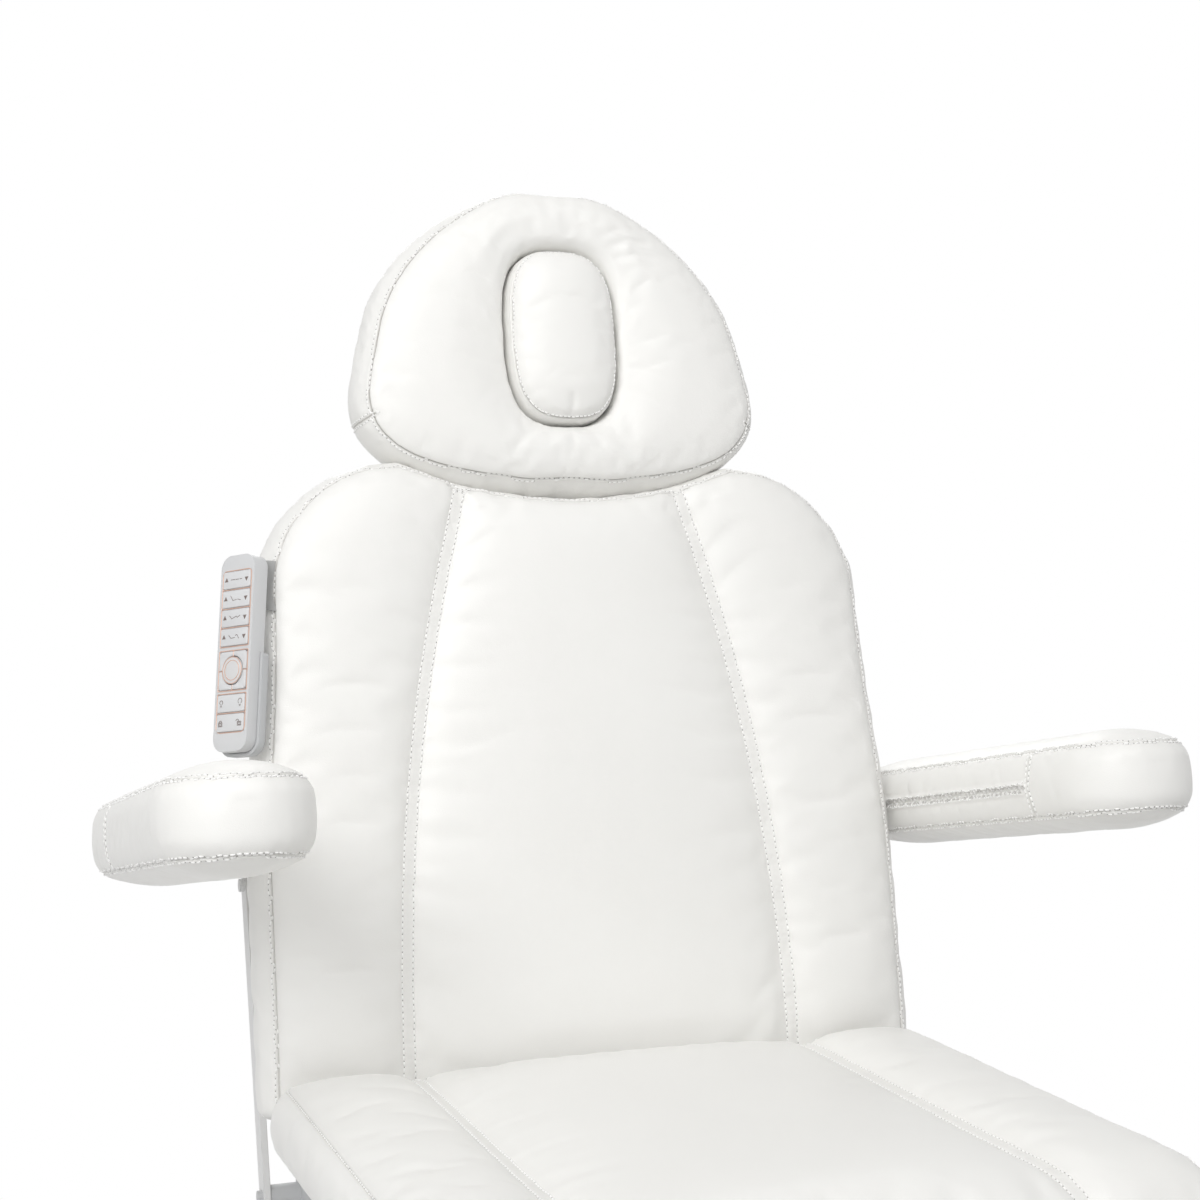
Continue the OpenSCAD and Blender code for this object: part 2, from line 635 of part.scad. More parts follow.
module seat_frame_side() {
    rear_low = [rail_rear + hinge_plate_tail, rail_z - hinge_plate_drop];
    translate([seat_rail_x, rail_front, rail_z]) square_tube(rail_rear - rail_front, tube, tube_h);
    // Hinge plate for the backrest and the parallel link
    translate([plate_in, 0, 0]) {
        link_bar([rail_rear - hinge_plate_root, rail_z - hinge_plate_drop], rear_low,
            hinge_plate_low_r, plate_t);
        yz_plate([rear_low, back_hinge + link_drop, back_hinge], hinge_plate_r, plate_t);
    }
    for (y = [rail_rear - spacer_in, rail_rear - spacer_in - spacer_step])
        translate([seat_rail_x + tube / 2, y, rail_z - spacer_h / 2])
            cube([plate_in - seat_rail_x - tube / 2, spacer_w, spacer_h]);
    x_rod(link_boss_r, plate_in, link_x - slide_gap, hinge_y, hinge_z - link_fall);
    x_rod(link_pin_r, plate_in, link_x + plate_t + link_pin_end, hinge_y, hinge_z - link_fall);
    // Hinge plate for the leg rest, and the lug round the tilt pin
    translate([seat_rail_x + tube / 2, 0, 0])
        link_bar([rail_front + leg_plate_root, rail_z - leg_plate_drop], leg_hinge, leg_plate_r, plate_t);
    translate([seat_lug_x - cheek_t / 2, 0, 0])
        link_bar([0, rail_z - lug_drop], tilt_hinge, cheek_r, cheek_t);
}
module seat_board() color(wood) translate([0, (seat_rear + seat_front) / 2, frame_top])
    slab(seat_w - 2 * board_in, seat_len - 2 * board_short, board_t, board_corner_r);
module seat_cushion() color(white) translate([0, seat_rear, seat_h - wall_h]) mirror([0, 1, 0])
    sewn_pad(seat_half, seat_len, seat_seam, seat_seam, seat_corner_r, 0, roll_len);

side_cover_t = 4;
side_cover_in = 25;
side_cover_start = 14;
side_cover_drop = 88;
flange_start = 62;
flange_end = 90;
module side_covers() color(grey_blue) both_sides() {
    outer = seat_w / 2 - side_cover_in;
    low = frame_top + board_t - rest_gap - side_cover_drop;
    translate([outer - side_cover_t, seat_front + side_cover_start, low])
        cube([side_cover_t, seat_len - 2 * side_cover_start, side_cover_drop]);
    translate([seat_rail_x + tube / 2, seat_front + flange_start, frame_top - side_cover_t])
        cube([outer - seat_rail_x - tube / 2, seat_len - flange_start - flange_end, side_cover_t]);
}

hinge_pin_in = 10;
hinge_pin_end = 2;
leg_pin_in = 22;
leg_pin_end = 4;
module hinge_pins() color(bright) both_sides() {
    x_rod(pin_r, back_plate_x - hinge_pin_in, plate_in + plate_t + hinge_pin_end, hinge_y, hinge_z);
    x_rod(pin_r, leg_rail_x - leg_pin_in, seat_rail_x + tube / 2 + plate_t + leg_pin_end,
        leg_hinge_y, leg_hinge_z);
}

// Backrest: Z runs up along it, Y behind it
back_tube_t = back_rear + tube / 2;
back_rail_low = 30;
back_rail_short = 54;
cross_low = 17;
cross_mid = 222;
cross_top_in = 74;
arm_pivot_s = cross_mid;
arm_pivot_t = 94;
arm_boss_r = 13;
arm_pin_end = 3;
back_plate_out = 14;
back_hole_reach = 12;
back_root = turn([back_tube_t, -cross_low], -back_lean) + [hip_y, seat_h];
back_slot = slot_point(back_base, back_lever, back_travel, 0.5);
module back_frame() color(steel) difference() {
    union() {
        at_back() {
            for (s = [-cross_low, cross_mid, back_len - cross_top_in])
                cross_tube(back_rail_x - tube / 2, back_tube_t, s);
            both_sides() back_frame_side();
        }
        translate([-actuator_x, 0, 0])
            lever_plates(back_root, back_hinge + back_slot, back_hinge + back_lever);
    }
    translate([-actuator_x, hinge_y, hinge_z]) lever_slot(back_base, back_lever, back_travel);
    both_sides() x_rod(pin_r + turn_gap, back_plate_x - back_hole_reach, back_plate_x + back_hole_reach,
        hinge_y, hinge_z);
}
module back_frame_side() {
    translate([back_rail_x, back_tube_t, -back_rail_low]) rotate([90, 0, 0])
        square_tube(back_len + back_rail_low - back_rail_short);
    translate([back_plate_x, 0, 0])
        link_bar([back_rear + back_plate_out, -back_plate_out], [hinge_t, hinge_s], hinge_plate_r, plate_t);
    x_rod(pin_r, back_plate_x, carrier_x + plate_t + arm_pin_end, arm_pivot_t, arm_pivot_s);
    x_rod(arm_boss_r, back_plate_x, carrier_x - slide_gap, arm_pivot_t, arm_pivot_s);
}
back_board_in = 35;
back_board_low = 14;
back_board_top = 40;
back_board_ease = 10;
module back_board() color(wood) in_back_plane(back_rear) linear_extrude(panel_t)
    polygon(round_outline(seat_w - 2 * back_board_in, back_start + back_board_low, back_len - back_board_top,
        board_corner_r, shoulder_r - back_board_ease, 10));
module back_cushion() color(white) in_back_plane(wall_h) translate([0, back_start, 0])
    sewn_pad(seat_half - back_ease, back_len - back_start, seat_seam, neck_seam, shoulder_r, neck_dip, 0,
        hinge_quiet);

// Headrest: sockets on the backrest, posts with a yoke, and the bracket that tilts in the yoke
post_x = 60;
post_t = 116;
post_len = 294;
socket_len = 60;
socket_top_in = 49;
socket_half = 82;
socket_s = back_len - socket_top_in - socket_len;
knob_s = socket_s + socket_len / 2;
knob_r = 19;
knob_t = 22;
knob_grip_r = 6;
knob_grip_at = 22;
knob_hub_r = 9;
knob_hub_l = 2;
stem_r = 4;
stem_in = 13;
module headrest_socket() color(steel) at_back() difference() {
    translate([-socket_half, back_rear + tube, socket_s])
        cube([2 * socket_half, 2 * (post_t - back_rear - tube), socket_len]);
    for (i = [-1, 1]) translate([i * post_x, post_t, socket_s - over])
        cylinder(r = rod_r + turn_gap, h = socket_len + 2 * over);
    x_rod(stem_r + turn_gap, post_x, socket_half + over, post_t, knob_s);
}
module clamp_knob() color(dark) at_back()
    translate([socket_half + rest_gap, post_t, knob_s]) rotate([0, 90, 0]) {
        translate([0, 0, knob_hub_l]) difference() {
            cylinder(r = knob_r, h = knob_t);
            for (a = [0:60:300]) rotate(a) translate([knob_grip_at, 0, -over])
                cylinder(r = knob_grip_r, h = knob_t + 2 * over);
        }
        cylinder(r = knob_hub_r, h = knob_hub_l + over);
        translate([0, 0, -stem_in]) cylinder(r = stem_r, h = stem_in + over);
    }
head_gap = 31;
head_hinge_s = back_len + head_gap;
head_hinge_t = 85;
boss_r = 11.5;
post_proud = 9;
module headrest_posts() color(bright) at_back() for (i = [-1, 1])
    translate([i * post_x, post_t, head_hinge_s + post_proud - post_len]) cylinder(r = rod_r, h = post_len);
yoke_half = 13;
head_axle_r = 7;
axle_bite = 3;
module headrest_yoke() color(dark) at_back() {
    both_sides() difference() {
        union() {
            x_rod(boss_r, post_x - yoke_half, post_x + yoke_half, head_hinge_t, head_hinge_s);
            translate([post_x - yoke_half, head_hinge_t, head_hinge_s - boss_r])
                cube([2 * yoke_half, post_t - head_hinge_t + yoke_half, 2 * boss_r]);
        }
        translate([post_x, post_t, head_hinge_s - boss_r - over]) cylinder(r = rod_r, h = 2 * boss_r - over);
    }
    axle_x = post_x - yoke_half + axle_bite;
    x_rod(head_axle_r, -axle_x, axle_x, head_hinge_t, head_hinge_s);
}
head_board_t = 9;
bracket_t = 3;
bracket_half = 38;
bracket_low = 22;
bracket_h = 60;
bracket_ear_x = 28;
bracket_ear_half = 5;
head_behind = 1;
head_rear = wall_h + head_behind;
module headrest_bracket() color(steel) at_back() difference() {
    plate_at = head_rear + head_board_t;
    ear_in = bracket_ear_x - bracket_ear_half;
    union() {
        translate([-bracket_half, plate_at, head_hinge_s - bracket_low])
            cube([2 * bracket_half, bracket_t, bracket_h]);
        both_sides() {
            x_rod(boss_r, ear_in, ear_in + 2 * bracket_ear_half, head_hinge_t, head_hinge_s);
            translate([ear_in, plate_at, head_hinge_s - boss_r])
                cube([2 * bracket_ear_half, head_hinge_t - plate_at, 2 * boss_r]);
        }
    }
    x_rod(head_axle_r + turn_gap, -bracket_half, bracket_half, head_hinge_t, head_hinge_s);
}

// Headrest cushion: an egg-shaped outline round an oval hole
head_up = 97;
head_s = head_hinge_s + head_up;
head_points = 52;
egg_pow = 2.6;
head_crown = 10;
head_bulge = 12;
rear_bulge_share = 0.75;
head_board_share = 0.93;
board_lip = 6;
// Each ring: share of the way out, and shares of the wall, the crown and the bulge
head_ring_shares = [[0, 0.02, 0, 0], [0, 0.7, 0, 0], [0, 1, 0.2, 0.25], [0.18, 1, 1, 0], [0.45, 1, 1.2, 0],
    [0.72, 1, 0.9, 0], [0.93, 1, 0.4, 0], [1, 1, 0, 0], [1, 0.78, 0, 0.75], [1, 0.45, 0, 1],
    [1, 0.15, 0, 0.58], [1, 0, 0, -0.33], [0, 0, 0, 0.25]];
function power(v, n) = sign(v) * pow(abs(v), n);
function egg(a, k = 1) = [k * head_half_w * power(cos(a), 2 / egg_pow) * (1 - head_taper_share * sin(a)),
    k * head_half_h * power(sin(a), 2 / egg_pow)];
function oval(a, grow = 0) = [(face_w / 2 + grow) * cos(a), (face_h / 2 + grow) * sin(a)];
function head_ring(share, z, out) = [for (i = [0:head_points - 1])
    let (a = 360 * i / head_points, p = egg(a), q = oval(a), d = p - q, n = out * d / norm(d),
        k = share > 0.5 ? abs(cos(a)) * rear_bulge_share + 1 - rear_bulge_share : 1)
    [q[0] + share * d[0] + n[0] * k, q[1] + share * d[1] + n[1] * k, z]];
module headrest_cushion() color(white) in_back_plane(head_rear) translate([0, head_s, 0])
    ring_pad(hollow = true, rings = [for (s = head_ring_shares)
        head_ring(s[0], wall_h * s[1] + head_crown * s[2], head_bulge * s[3])]);
module headrest_board() color(wood) in_back_plane(head_rear + head_board_t) translate([0, head_s, 0])
    linear_extrude(head_board_t) difference() {
        polygon([for (a = [0:7.5:352.5]) egg(a, head_board_share)]);
        polygon([for (a = [0:10:350]) oval(a, -board_lip)]);
    }
plug_gap = 1.2;
plug_proud = 24;
// Each ring: share of the half width drawn in, and shares of the wall and of what stands proud
plug_ring_shares = [[0.836, 1, 1], [0.514, 1, 0.94], [0.193, 1, 0.67], [0.054, 1, 0.375], [0.018, 1, 0.08],
    [0, 0.8, 0], [0, 0, 0], [0.514, 0, 0]];
function plug_ring(grow, z) = [for (a = [0:10:350]) let (p = oval(a, grow)) [p[0], p[1], z]];
module face_plug() color(white) in_back_plane(head_rear) translate([0, head_s, 0])
    ring_pad([for (s = plug_ring_shares)
        plug_ring(-plug_gap - s[0] * face_w / 2, max(rest_gap, wall_h * s[1] + plug_proud * s[2]))]);

// Leg rest: Y runs back to its hinge, Z out of the cushion
leg_start = 14;
leg_len = (leg_hinge_z - base_h - leg_clear) / sin(leg_drop) - leg_start;
leg_cross = 95;
leg_rail_end = 30;
leg_rail_short = 24;
leg_rail_w = 20;
leg_arm_y = 40;
leg_arm_drop = 3;
leg_arm_r = 12;
lever_root_drop = 2;
leg_hole_reach = 20;
leg_board_in = 40;
leg_board_short = 10;
leg_front_z = leg_hinge_drop;
leg_pad_z = leg_front_z - wall_h;
leg_tube_z = leg_pad_z - panel_t - tube / 2;
leg_slot = turn(slot_point(leg_base, leg_lever, leg_travel, 0.5), -leg_drop);
module leg_frame() color(steel) difference() {
    at_leg() {
        for (y = [leg_len + leg_start - leg_rail_end - tube / 2, leg_len / 2, leg_cross])
            cross_tube(leg_rail_x - leg_rail_w / 2, -y, leg_tube_z);
        both_sides() {
            translate([leg_rail_x, leg_rail_end - leg_len - leg_start, leg_tube_z])
                square_tube(leg_len - leg_rail_short, leg_rail_w);
            translate([leg_rail_x - plate_t / 2, 0, 0])
                link_bar([-leg_arm_y, leg_tube_z - leg_arm_drop], [0, 0], leg_arm_r, plate_t);
        }
        translate([actuator_x, 0, 0])
            lever_plates([-leg_cross, leg_tube_z - lever_root_drop], leg_slot, turn(leg_lever, -leg_drop));
    }
    translate([actuator_x, leg_hinge_y, leg_hinge_z]) lever_slot(leg_base, leg_lever, leg_travel);
    x_rod(pin_r + turn_gap, -leg_rail_x - leg_hole_reach, leg_rail_x + leg_hole_reach,
        leg_hinge_y, leg_hinge_z);
}
module leg_board() color(wood) at_leg() translate([0, -leg_start - leg_len / 2, leg_pad_z - panel_t])
    slab(seat_w - 2 * leg_board_in, leg_len - 2 * leg_board_short, panel_t, leg_corner_r - leg_board_short);
module leg_cushion() color(white) at_leg() translate([0, -leg_start, leg_pad_z]) mirror([0, 1, 0])
    sewn_pad(seat_half - leg_ease, leg_len, seat_seam - leg_seam_in, seat_seam - leg_seam_out, leg_corner_r);

// Arms, built for the sitter's left side and mirrored for the right
arm_pivot = turn([arm_pivot_t, arm_pivot_s], -back_lean) + [hip_y, seat_h];
arm_x = seat_w / 2 + arm_gap + arm_w / 2;
arm_rear = 148;
arm_rise = 200;
arm_rear_y = hip_y + arm_rear;
arm_mid_z = seat_h + arm_rise;
knuckle_r = 13;
knuckle_y = 15;
knuckle_h = 18;
knuckle_lead = 4;
knuckle_bite = 2;
carrier_r = 15;
carrier_arm_r = 11;
carrier_bar_w = 10;
carrier_bar_h = 16;
carrier_bar_in = 1;
arm_link_r = 11;
module mirrored(side) if (side > 0) children(); else mirror([1, 0, 0]) children();
// The arm's own frame: origin at the middle of the pad's rear face, Y to the rear, pitched
module at_arm() translate([arm_x, arm_rear_y, arm_mid_z]) rotate([-arm_pitch, 0, 0]) children();
module arm_carrier(side) color(steel) mirrored(side) difference() {
    union() {
        translate([carrier_x, 0, 0]) {
            link_bar(arm_pivot, arm_pivot + link_drop, carrier_r, plate_t);
            link_bar(arm_pivot, [arm_rear_y + knuckle_y + knuckle_lead, arm_mid_z], carrier_arm_r, plate_t);
        }
        x_rod(link_pin_r, carrier_x, link_x + plate_t + link_pin_end, arm_pivot[0], arm_pivot[1] - link_fall);
        at_arm() translate([0, knuckle_y, 0]) {
            translate([carrier_x - arm_x + carrier_bar_in, -carrier_bar_w / 2, -carrier_bar_h / 2])
                cube([arm_x - carrier_x - knuckle_r + knuckle_bite, carrier_bar_w, carrier_bar_h]);
            translate([0, 0, -knuckle_h / 2]) cylinder(r = knuckle_r, h = knuckle_h);
        }
    }
    x_rod(pin_r + turn_gap, carrier_x - over, carrier_x + plate_t + over, arm_pivot[0], arm_pivot[1]);
    at_arm() translate([0, knuckle_y, -over - knuckle_h / 2])
        cylinder(r = link_pin_r + turn_gap, h = knuckle_h + 2 * over);
}
module arm_link(side) color(steel) mirrored(side) difference() {
    translate([link_x, 0, 0]) link_bar(back_hinge + link_drop, arm_pivot + link_drop, arm_link_r, plate_t);
    for (p = [back_hinge, arm_pivot])
        x_rod(link_pin_r + turn_gap, link_x - over, link_x + plate_t + over, p[0], p[1] - link_fall);
}

bar_short = 60;
bar_len = arm_len - bar_short;
bar_t = 8;
bar_w = 40;
bar_clear = 1;
fork_half = 21;
fork_w = 16;
fork_in = 20;
fork_end = 6;
fork_play = 1;
web_at = 24;
web_t = 8;
web_pocket = 50;
fork_t = fork_half - knuckle_h / 2 - rest_gap;
module arm_bar(side) color(steel) mirrored(side) at_arm() {
    for (z = [-fork_half, fork_half - fork_t]) {
        translate([0, knuckle_y, z]) cylinder(r = knuckle_r - fork_play, h = fork_t);
        translate([-fork_w / 2, -fork_in, z]) cube([fork_w, knuckle_y + fork_in - fork_end, fork_t]);
    }
    translate([0, knuckle_y, -fork_half]) cylinder(r = link_pin_r, h = 2 * fork_half);
    translate([-bar_w / 2, -bar_len, -fork_half]) cube([bar_w, bar_len - bar_clear, bar_t]);
    translate([-fork_w / 2, -web_at, -fork_half]) cube([fork_w, web_t, 2 * fork_half]);
}
arm_crown = 12;
arm_bulge = 7;
arm_rear_r = 16;
arm_nose_flat = 1;
arm_rear_bulge_share = 0.1;
// Each ring of the upper half: share of the half width drawn in, shares of the wall, crown and bulge
arm_ring_shares = [[0.92, 1, 1, 0], [0.68, 1, 0.9, 0], [0.36, 1, 0.6, 0], [0.12, 1, 0.25, 0], [0, 1, 0, 0],
    [0, 0.6, 0, 0.85]];
function arm_ring(s, up) = let (inset = s[0] * arm_w / 2, out = s[3] * arm_bulge,
    nose_r = max(arm_nose_flat, arm_w / 2 - arm_nose_flat - inset + out),
    rear_r = max(arm_nose_flat, arm_rear_r - inset + out))
    lift(round_outline(arm_w - 2 * inset + 2 * out, inset - arm_len - out, out * arm_rear_bulge_share - inset,
        nose_r, rear_r), up * (s[1] * arm_wall_h / 2 + s[2] * arm_crown));
module arm_pad(side) color(white) mirrored(side) at_arm() difference() {
    last = len(arm_ring_shares) - 1;
    ring_pad(concat([for (s = arm_ring_shares) arm_ring(s, 1)], [arm_ring([0, 0, 0, 1], 1)],
        [for (i = [last:-1:0]) arm_ring(arm_ring_shares[i], -1)]));
    // The bar lies in a pocket of the pad's core
    translate([-bar_w / 2 - rest_gap, -bar_len - rest_gap, -fork_half - rest_gap])
        cube([bar_w + 2 * rest_gap, bar_len + fork_in, bar_t + 2 * rest_gap]);
    translate([-fork_w / 2 - rest_gap, -web_at - rest_gap, -fork_half - rest_gap])
        cube([fork_w + 2 * rest_gap, web_pocket, 2 * fork_half + 2 * rest_gap]);
}

// Hand control and its keys; Z is along it, -Y its face
hand_out = 12.5;
hand_x = -(seat_w / 2 + hand_out);
hand_s = 378;
hand_roll = 5;
hand_yaw = 57;
hand_corner_r = 12;
key_w = 34;
key_h = 15.4;
key_t = 3;
key_deep = 2;
key_room = 1;
key_corner_r = 1.6;
row_step = 17.2;
row_in = 22.6;
round_drop = 30;
low_drop = 29.2;
row_top = hand_len / 2 - row_in;
round_z = row_top - 3 * row_step - round_drop;
low_row = round_z - low_drop;
block_h = 34;
block_corner = 2;
quarter_gap = 0.9;
centre_r = 12.2;
centre_gap = 0.9;
centre_proud = 0.4;
function row_z(i) = row_top - i * row_step;
module at_hand() at_back() translate([hand_x, 0, hand_s]) rotate([0, hand_roll, 0])
    rotate([0, 0, -hand_yaw]) children();
module on_face(z) at_hand() translate([0, key_deep - hand_t / 2, z]) rotate([90, 0, 0]) children();
module rocker_hole(z, h = key_h) translate([0, -hand_t / 2, z])
    cube([key_w + 2 * rest_gap, 2 * (key_deep + key_room), h + 2 * rest_gap], center = true);
module handset_body() color([0.82, 0.84, 0.86]) at_hand() difference() {
    translate([0, hand_t / 2, 0]) rotate([90, 0, 0]) linear_extrude(hand_t)
        polygon(round_outline(hand_w, -hand_len / 2, hand_len / 2, hand_corner_r, hand_corner_r));
    for (i = [0:3]) rocker_hole(row_z(i));
    for (i = [0, 1]) rocker_hole(low_row - i * row_step);
    rocker_hole(round_z, block_h);
}
module rocker(z) color([0.9, 0.91, 0.92]) on_face(z)
    linear_extrude(key_t) polygon(round_outline(key_w, -key_h / 2, key_h / 2, key_corner_r, key_corner_r));
// Outline of one quarter key, from its straight sides round the arc beside the centre key
function quarter_outline(sx, sy) = let (g = quarter_gap / 2, r = centre_r + centre_gap, a0 = asin(g / r),
    w = key_w / 2, h = block_h / 2, c = block_corner,
    one = concat([[w, g], [w, h - c], [w - c, h], [g, h]],
        [for (k = [8:-1:0]) let (a = a0 + k * (90 - 2 * a0) / 8) [r * cos(a), r * sin(a)]]),
    m = len(one)) [for (k = [0:m - 1]) let (p = one[sx * sy > 0 ? k : m - 1 - k]) [sx * p[0], sy * p[1]]];
module quarter(i) color([0.86, 0.87, 0.89]) on_face(round_z)
    linear_extrude(key_t) polygon(quarter_outline(i == 0 || i == 3 ? 1 : -1, i < 2 ? 1 : -1));
module key_centre() color([0.8, 0.55, 0.42]) on_face(round_z)
    cylinder(r = centre_r, h = key_t + centre_proud);

holder_t = 3;
holder_h = 88;
holder_wrap_share = 0.5;
holder_top_r = 4;
holder_low_r = 14;
strap_out = 8;
strap_t = 4;
strap_h = 40;
strap_low = 30;
strap_bite = 2;
strap_start = 9.9;
module handset_holder() color(grey_blue) {
    wall = holder_t + rest_gap;
    at_hand() difference() {
        translate([0, hand_t / 2 + wall, 0]) rotate([90, 0, 0]) linear_extrude(hand_t * holder_wrap_share)
            polygon(round_outline(hand_w + 2 * wall, -hand_len / 2 - wall, holder_h - hand_len / 2,
                holder_low_r, holder_top_r));
        translate([0, hand_t / 2 + rest_gap, 0]) rotate([90, 0, 0]) linear_extrude(hand_t)
            polygon(round_outline(hand_w + 2 * rest_gap, -hand_len / 2 - rest_gap, hand_len,
                hand_corner_r, hand_corner_r));
    }
    // Strap from the holder, round behind the cushion to the backrest's rail
    at_back() translate([-seat_w / 2 - strap_out, 0, hand_s - strap_low]) {
        translate([0, back_rear, 0])
            cube([seat_w / 2 + strap_out - back_rail_x - tube / 2, strap_t, strap_h]);
        translate([0, strap_start, 0])
            cube([strap_t, back_rear + strap_bite - strap_start, strap_h]);
    }
}

base_plate();
base_cover();
levelling_feet();
control_box();
power_inlet();
mains_switch();
column_outer();
column_middle();
column_inner();
lift_actuator();
lift_sleeve();
lift_rod();
column_head();
tilt_actuator();
tilt_rod();
seat_frame();
seat_board();
seat_cushion();
side_covers();
hinge_pins();
back_actuator();
back_rod();
leg_actuator();
leg_rod();
back_frame();
back_board();
back_cushion();
headrest_socket();
clamp_knob();
headrest_posts();
headrest_yoke();
headrest_bracket();
headrest_board();
headrest_cushion();
face_plug();
leg_frame();
leg_board();
leg_cushion();
arm_carrier(1);  // arm_carrier_left
arm_carrier(-1);  // arm_carrier_right
arm_link(1);  // arm_link_left
arm_link(-1);  // arm_link_right
arm_bar(1);  // arm_bar_left
arm_bar(-1);  // arm_bar_right
arm_pad(1);  // arm_pad_left
arm_pad(-1);  // arm_pad_right
handset_holder();
handset_body();
rocker(row_z(0));  // key_lift
rocker(row_z(1));  // key_back
rocker(row_z(2));  // key_tilt
rocker(row_z(3));  // key_leg
quarter(0);  // key_seat_up
quarter(2);  // key_seat_down
quarter(1);  // key_memory_a
quarter(3);  // key_memory_b
key_centre();
rocker(low_row);  // key_light
rocker(low_row - row_step);  // key_lock
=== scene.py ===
# %% [markdown]
# Electric treatment chair, dressed in Blender.
# The CAD model gives every frame, hinge and cushion its place. This lesson loads it as a fixed frame and gives
# each surface the look of the real chair: soft white artificial leather with sewn seams, grey sheet metal,
# satin tubes, bright rods and moulded plastic.

# %% Load the frame
import json
import math
from contextlib import contextmanager
import bpy
import numpy as np
from mathutils import Matrix, Vector
from mathutils.bvhtree import BVHTree
from mathutils.kdtree import KDTree


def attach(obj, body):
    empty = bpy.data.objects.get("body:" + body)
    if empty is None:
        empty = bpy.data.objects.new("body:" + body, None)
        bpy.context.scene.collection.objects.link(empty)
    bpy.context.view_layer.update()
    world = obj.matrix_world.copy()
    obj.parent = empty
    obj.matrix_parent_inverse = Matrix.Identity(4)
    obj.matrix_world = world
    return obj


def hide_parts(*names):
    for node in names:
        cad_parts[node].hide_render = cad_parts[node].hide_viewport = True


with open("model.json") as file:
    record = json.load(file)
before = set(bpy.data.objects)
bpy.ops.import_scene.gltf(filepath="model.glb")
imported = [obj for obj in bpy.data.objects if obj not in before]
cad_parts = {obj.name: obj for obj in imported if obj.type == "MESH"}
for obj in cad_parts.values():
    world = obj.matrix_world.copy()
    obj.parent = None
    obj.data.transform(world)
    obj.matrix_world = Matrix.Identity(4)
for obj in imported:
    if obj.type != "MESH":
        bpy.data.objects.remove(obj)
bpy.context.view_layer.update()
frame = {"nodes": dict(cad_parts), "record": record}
NODES = frame["nodes"]


MM = 0.001

# %% [markdown]
# The photograph is taken from the sitter's right, a little below shoulder height, with a long lens.
# A camera fitted to the seams gives the place, the turn and the lens below; it needs no shift.

# %% Camera
camera_data = bpy.data.cameras.new("view")
camera_data.lens = 60.54
camera_data.sensor_width = 36.0
camera = bpy.data.objects.new("view", camera_data)
camera.location = (-0.656, -1.501, 1.054)
camera.rotation_euler = (math.radians(90 - 1.14), 0.0, math.radians(-20.7))
bpy.context.scene.collection.objects.link(camera)
bpy.context.scene.camera = camera
bpy.context.scene.view_settings.view_transform = "Standard"
print("camera at", tuple(camera.location))

# %% [markdown]
# Every material below is a small node tree. `Tree` keeps the wiring short: it adds a node, sets its values
# and links what is passed to it. Node groups are built with the same helper.

# %% Node helpers


class Tree:
    def __init__(self, tree):
        self.tree = tree

    def node(self, kind, links=(), **values):
        made = self.tree.nodes.new(kind)
        for name, value in values.items():
            setattr(made, name, value)
        for socket, source in dict(links).items():
            self.feed(source, made.inputs[socket])
        return made

    def feed(self, source, socket):
        if isinstance(source, bpy.types.NodeSocket):
            self.tree.links.new(source, socket)
        elif isinstance(source, bpy.types.Node):
            self.tree.links.new(source.outputs[0], socket)
        else:
            socket.default_value = source

    def math(self, kind, a, b=0.0, clamp=False):
        made = self.node("ShaderNodeMath", {0: a, 1: b}, operation=kind)
        made.use_clamp = clamp
        return made.outputs[0]

    def noise(self, vector, scale, detail=3.0, rough=0.5):
        return self.node("ShaderNodeTexNoise", {"Vector": vector, "Scale": scale, "Detail": detail,
                                                "Roughness": rough}).outputs[0]

    def stretched(self, vector, size):
        made = self.node("ShaderNodeMapping", {"Vector": vector, "Scale": size})
        return made.outputs[0]

    def between(self, share, low, high):
        made = self.node("ShaderNodeMapRange", {"Value": share, "To Min": low, "To Max": high})
        return made.outputs[0]

    def colours(self, share, first, second):
        made = self.node("ShaderNodeMix", data_type="RGBA")
        self.feed(share, made.inputs["Factor"])
        self.feed((*first, 1.0) if isinstance(first, tuple) else first, made.inputs["A"])
        self.feed((*second, 1.0) if isinstance(second, tuple) else second, made.inputs["B"])
        return made.outputs["Result"]


def group(name, inputs, outputs, build):
    tree = bpy.data.node_groups.new(name, "ShaderNodeTree")
    for title, kind, value in inputs:
        socket = tree.interface.new_socket(title, in_out="INPUT", socket_type=kind)
        if value is not None:
            socket.default_value = value
    for title, kind in outputs:
        tree.interface.new_socket(title, in_out="OUTPUT", socket_type=kind)
    start = tree.nodes.new("NodeGroupInput")
    end = tree.nodes.new("NodeGroupOutput")
    for title, source in build(Tree(tree), start.outputs).items():
        tree.links.new(source, end.inputs[title])
    return tree


FLOAT, VECTOR = "NodeSocketFloat", "NodeSocketVector"

# %% [markdown]
# Four effects are used by many finishes, so each is a node group with named inputs.
# Leather grain: small rounded pebbles with finer pores between them.
# Dust: slow cloudy patches that dull a surface, a little more on faces that look up.
# Brushed lines: noise drawn out along one axis.
# Weave: two crossing thread directions.

# %% Node groups


def leather_grain(t, given):
    pebbles = t.node("ShaderNodeTexVoronoi", {"Vector": given["Vector"], "Scale": given["Scale"]})
    fine = t.noise(given["Vector"], given["Scale"], 5.0, 0.65)
    height = t.math("ADD", t.math("MULTIPLY", pebbles.outputs["Distance"], -0.9), t.math("MULTIPLY", fine, 0.7))
    return {"Height": height}


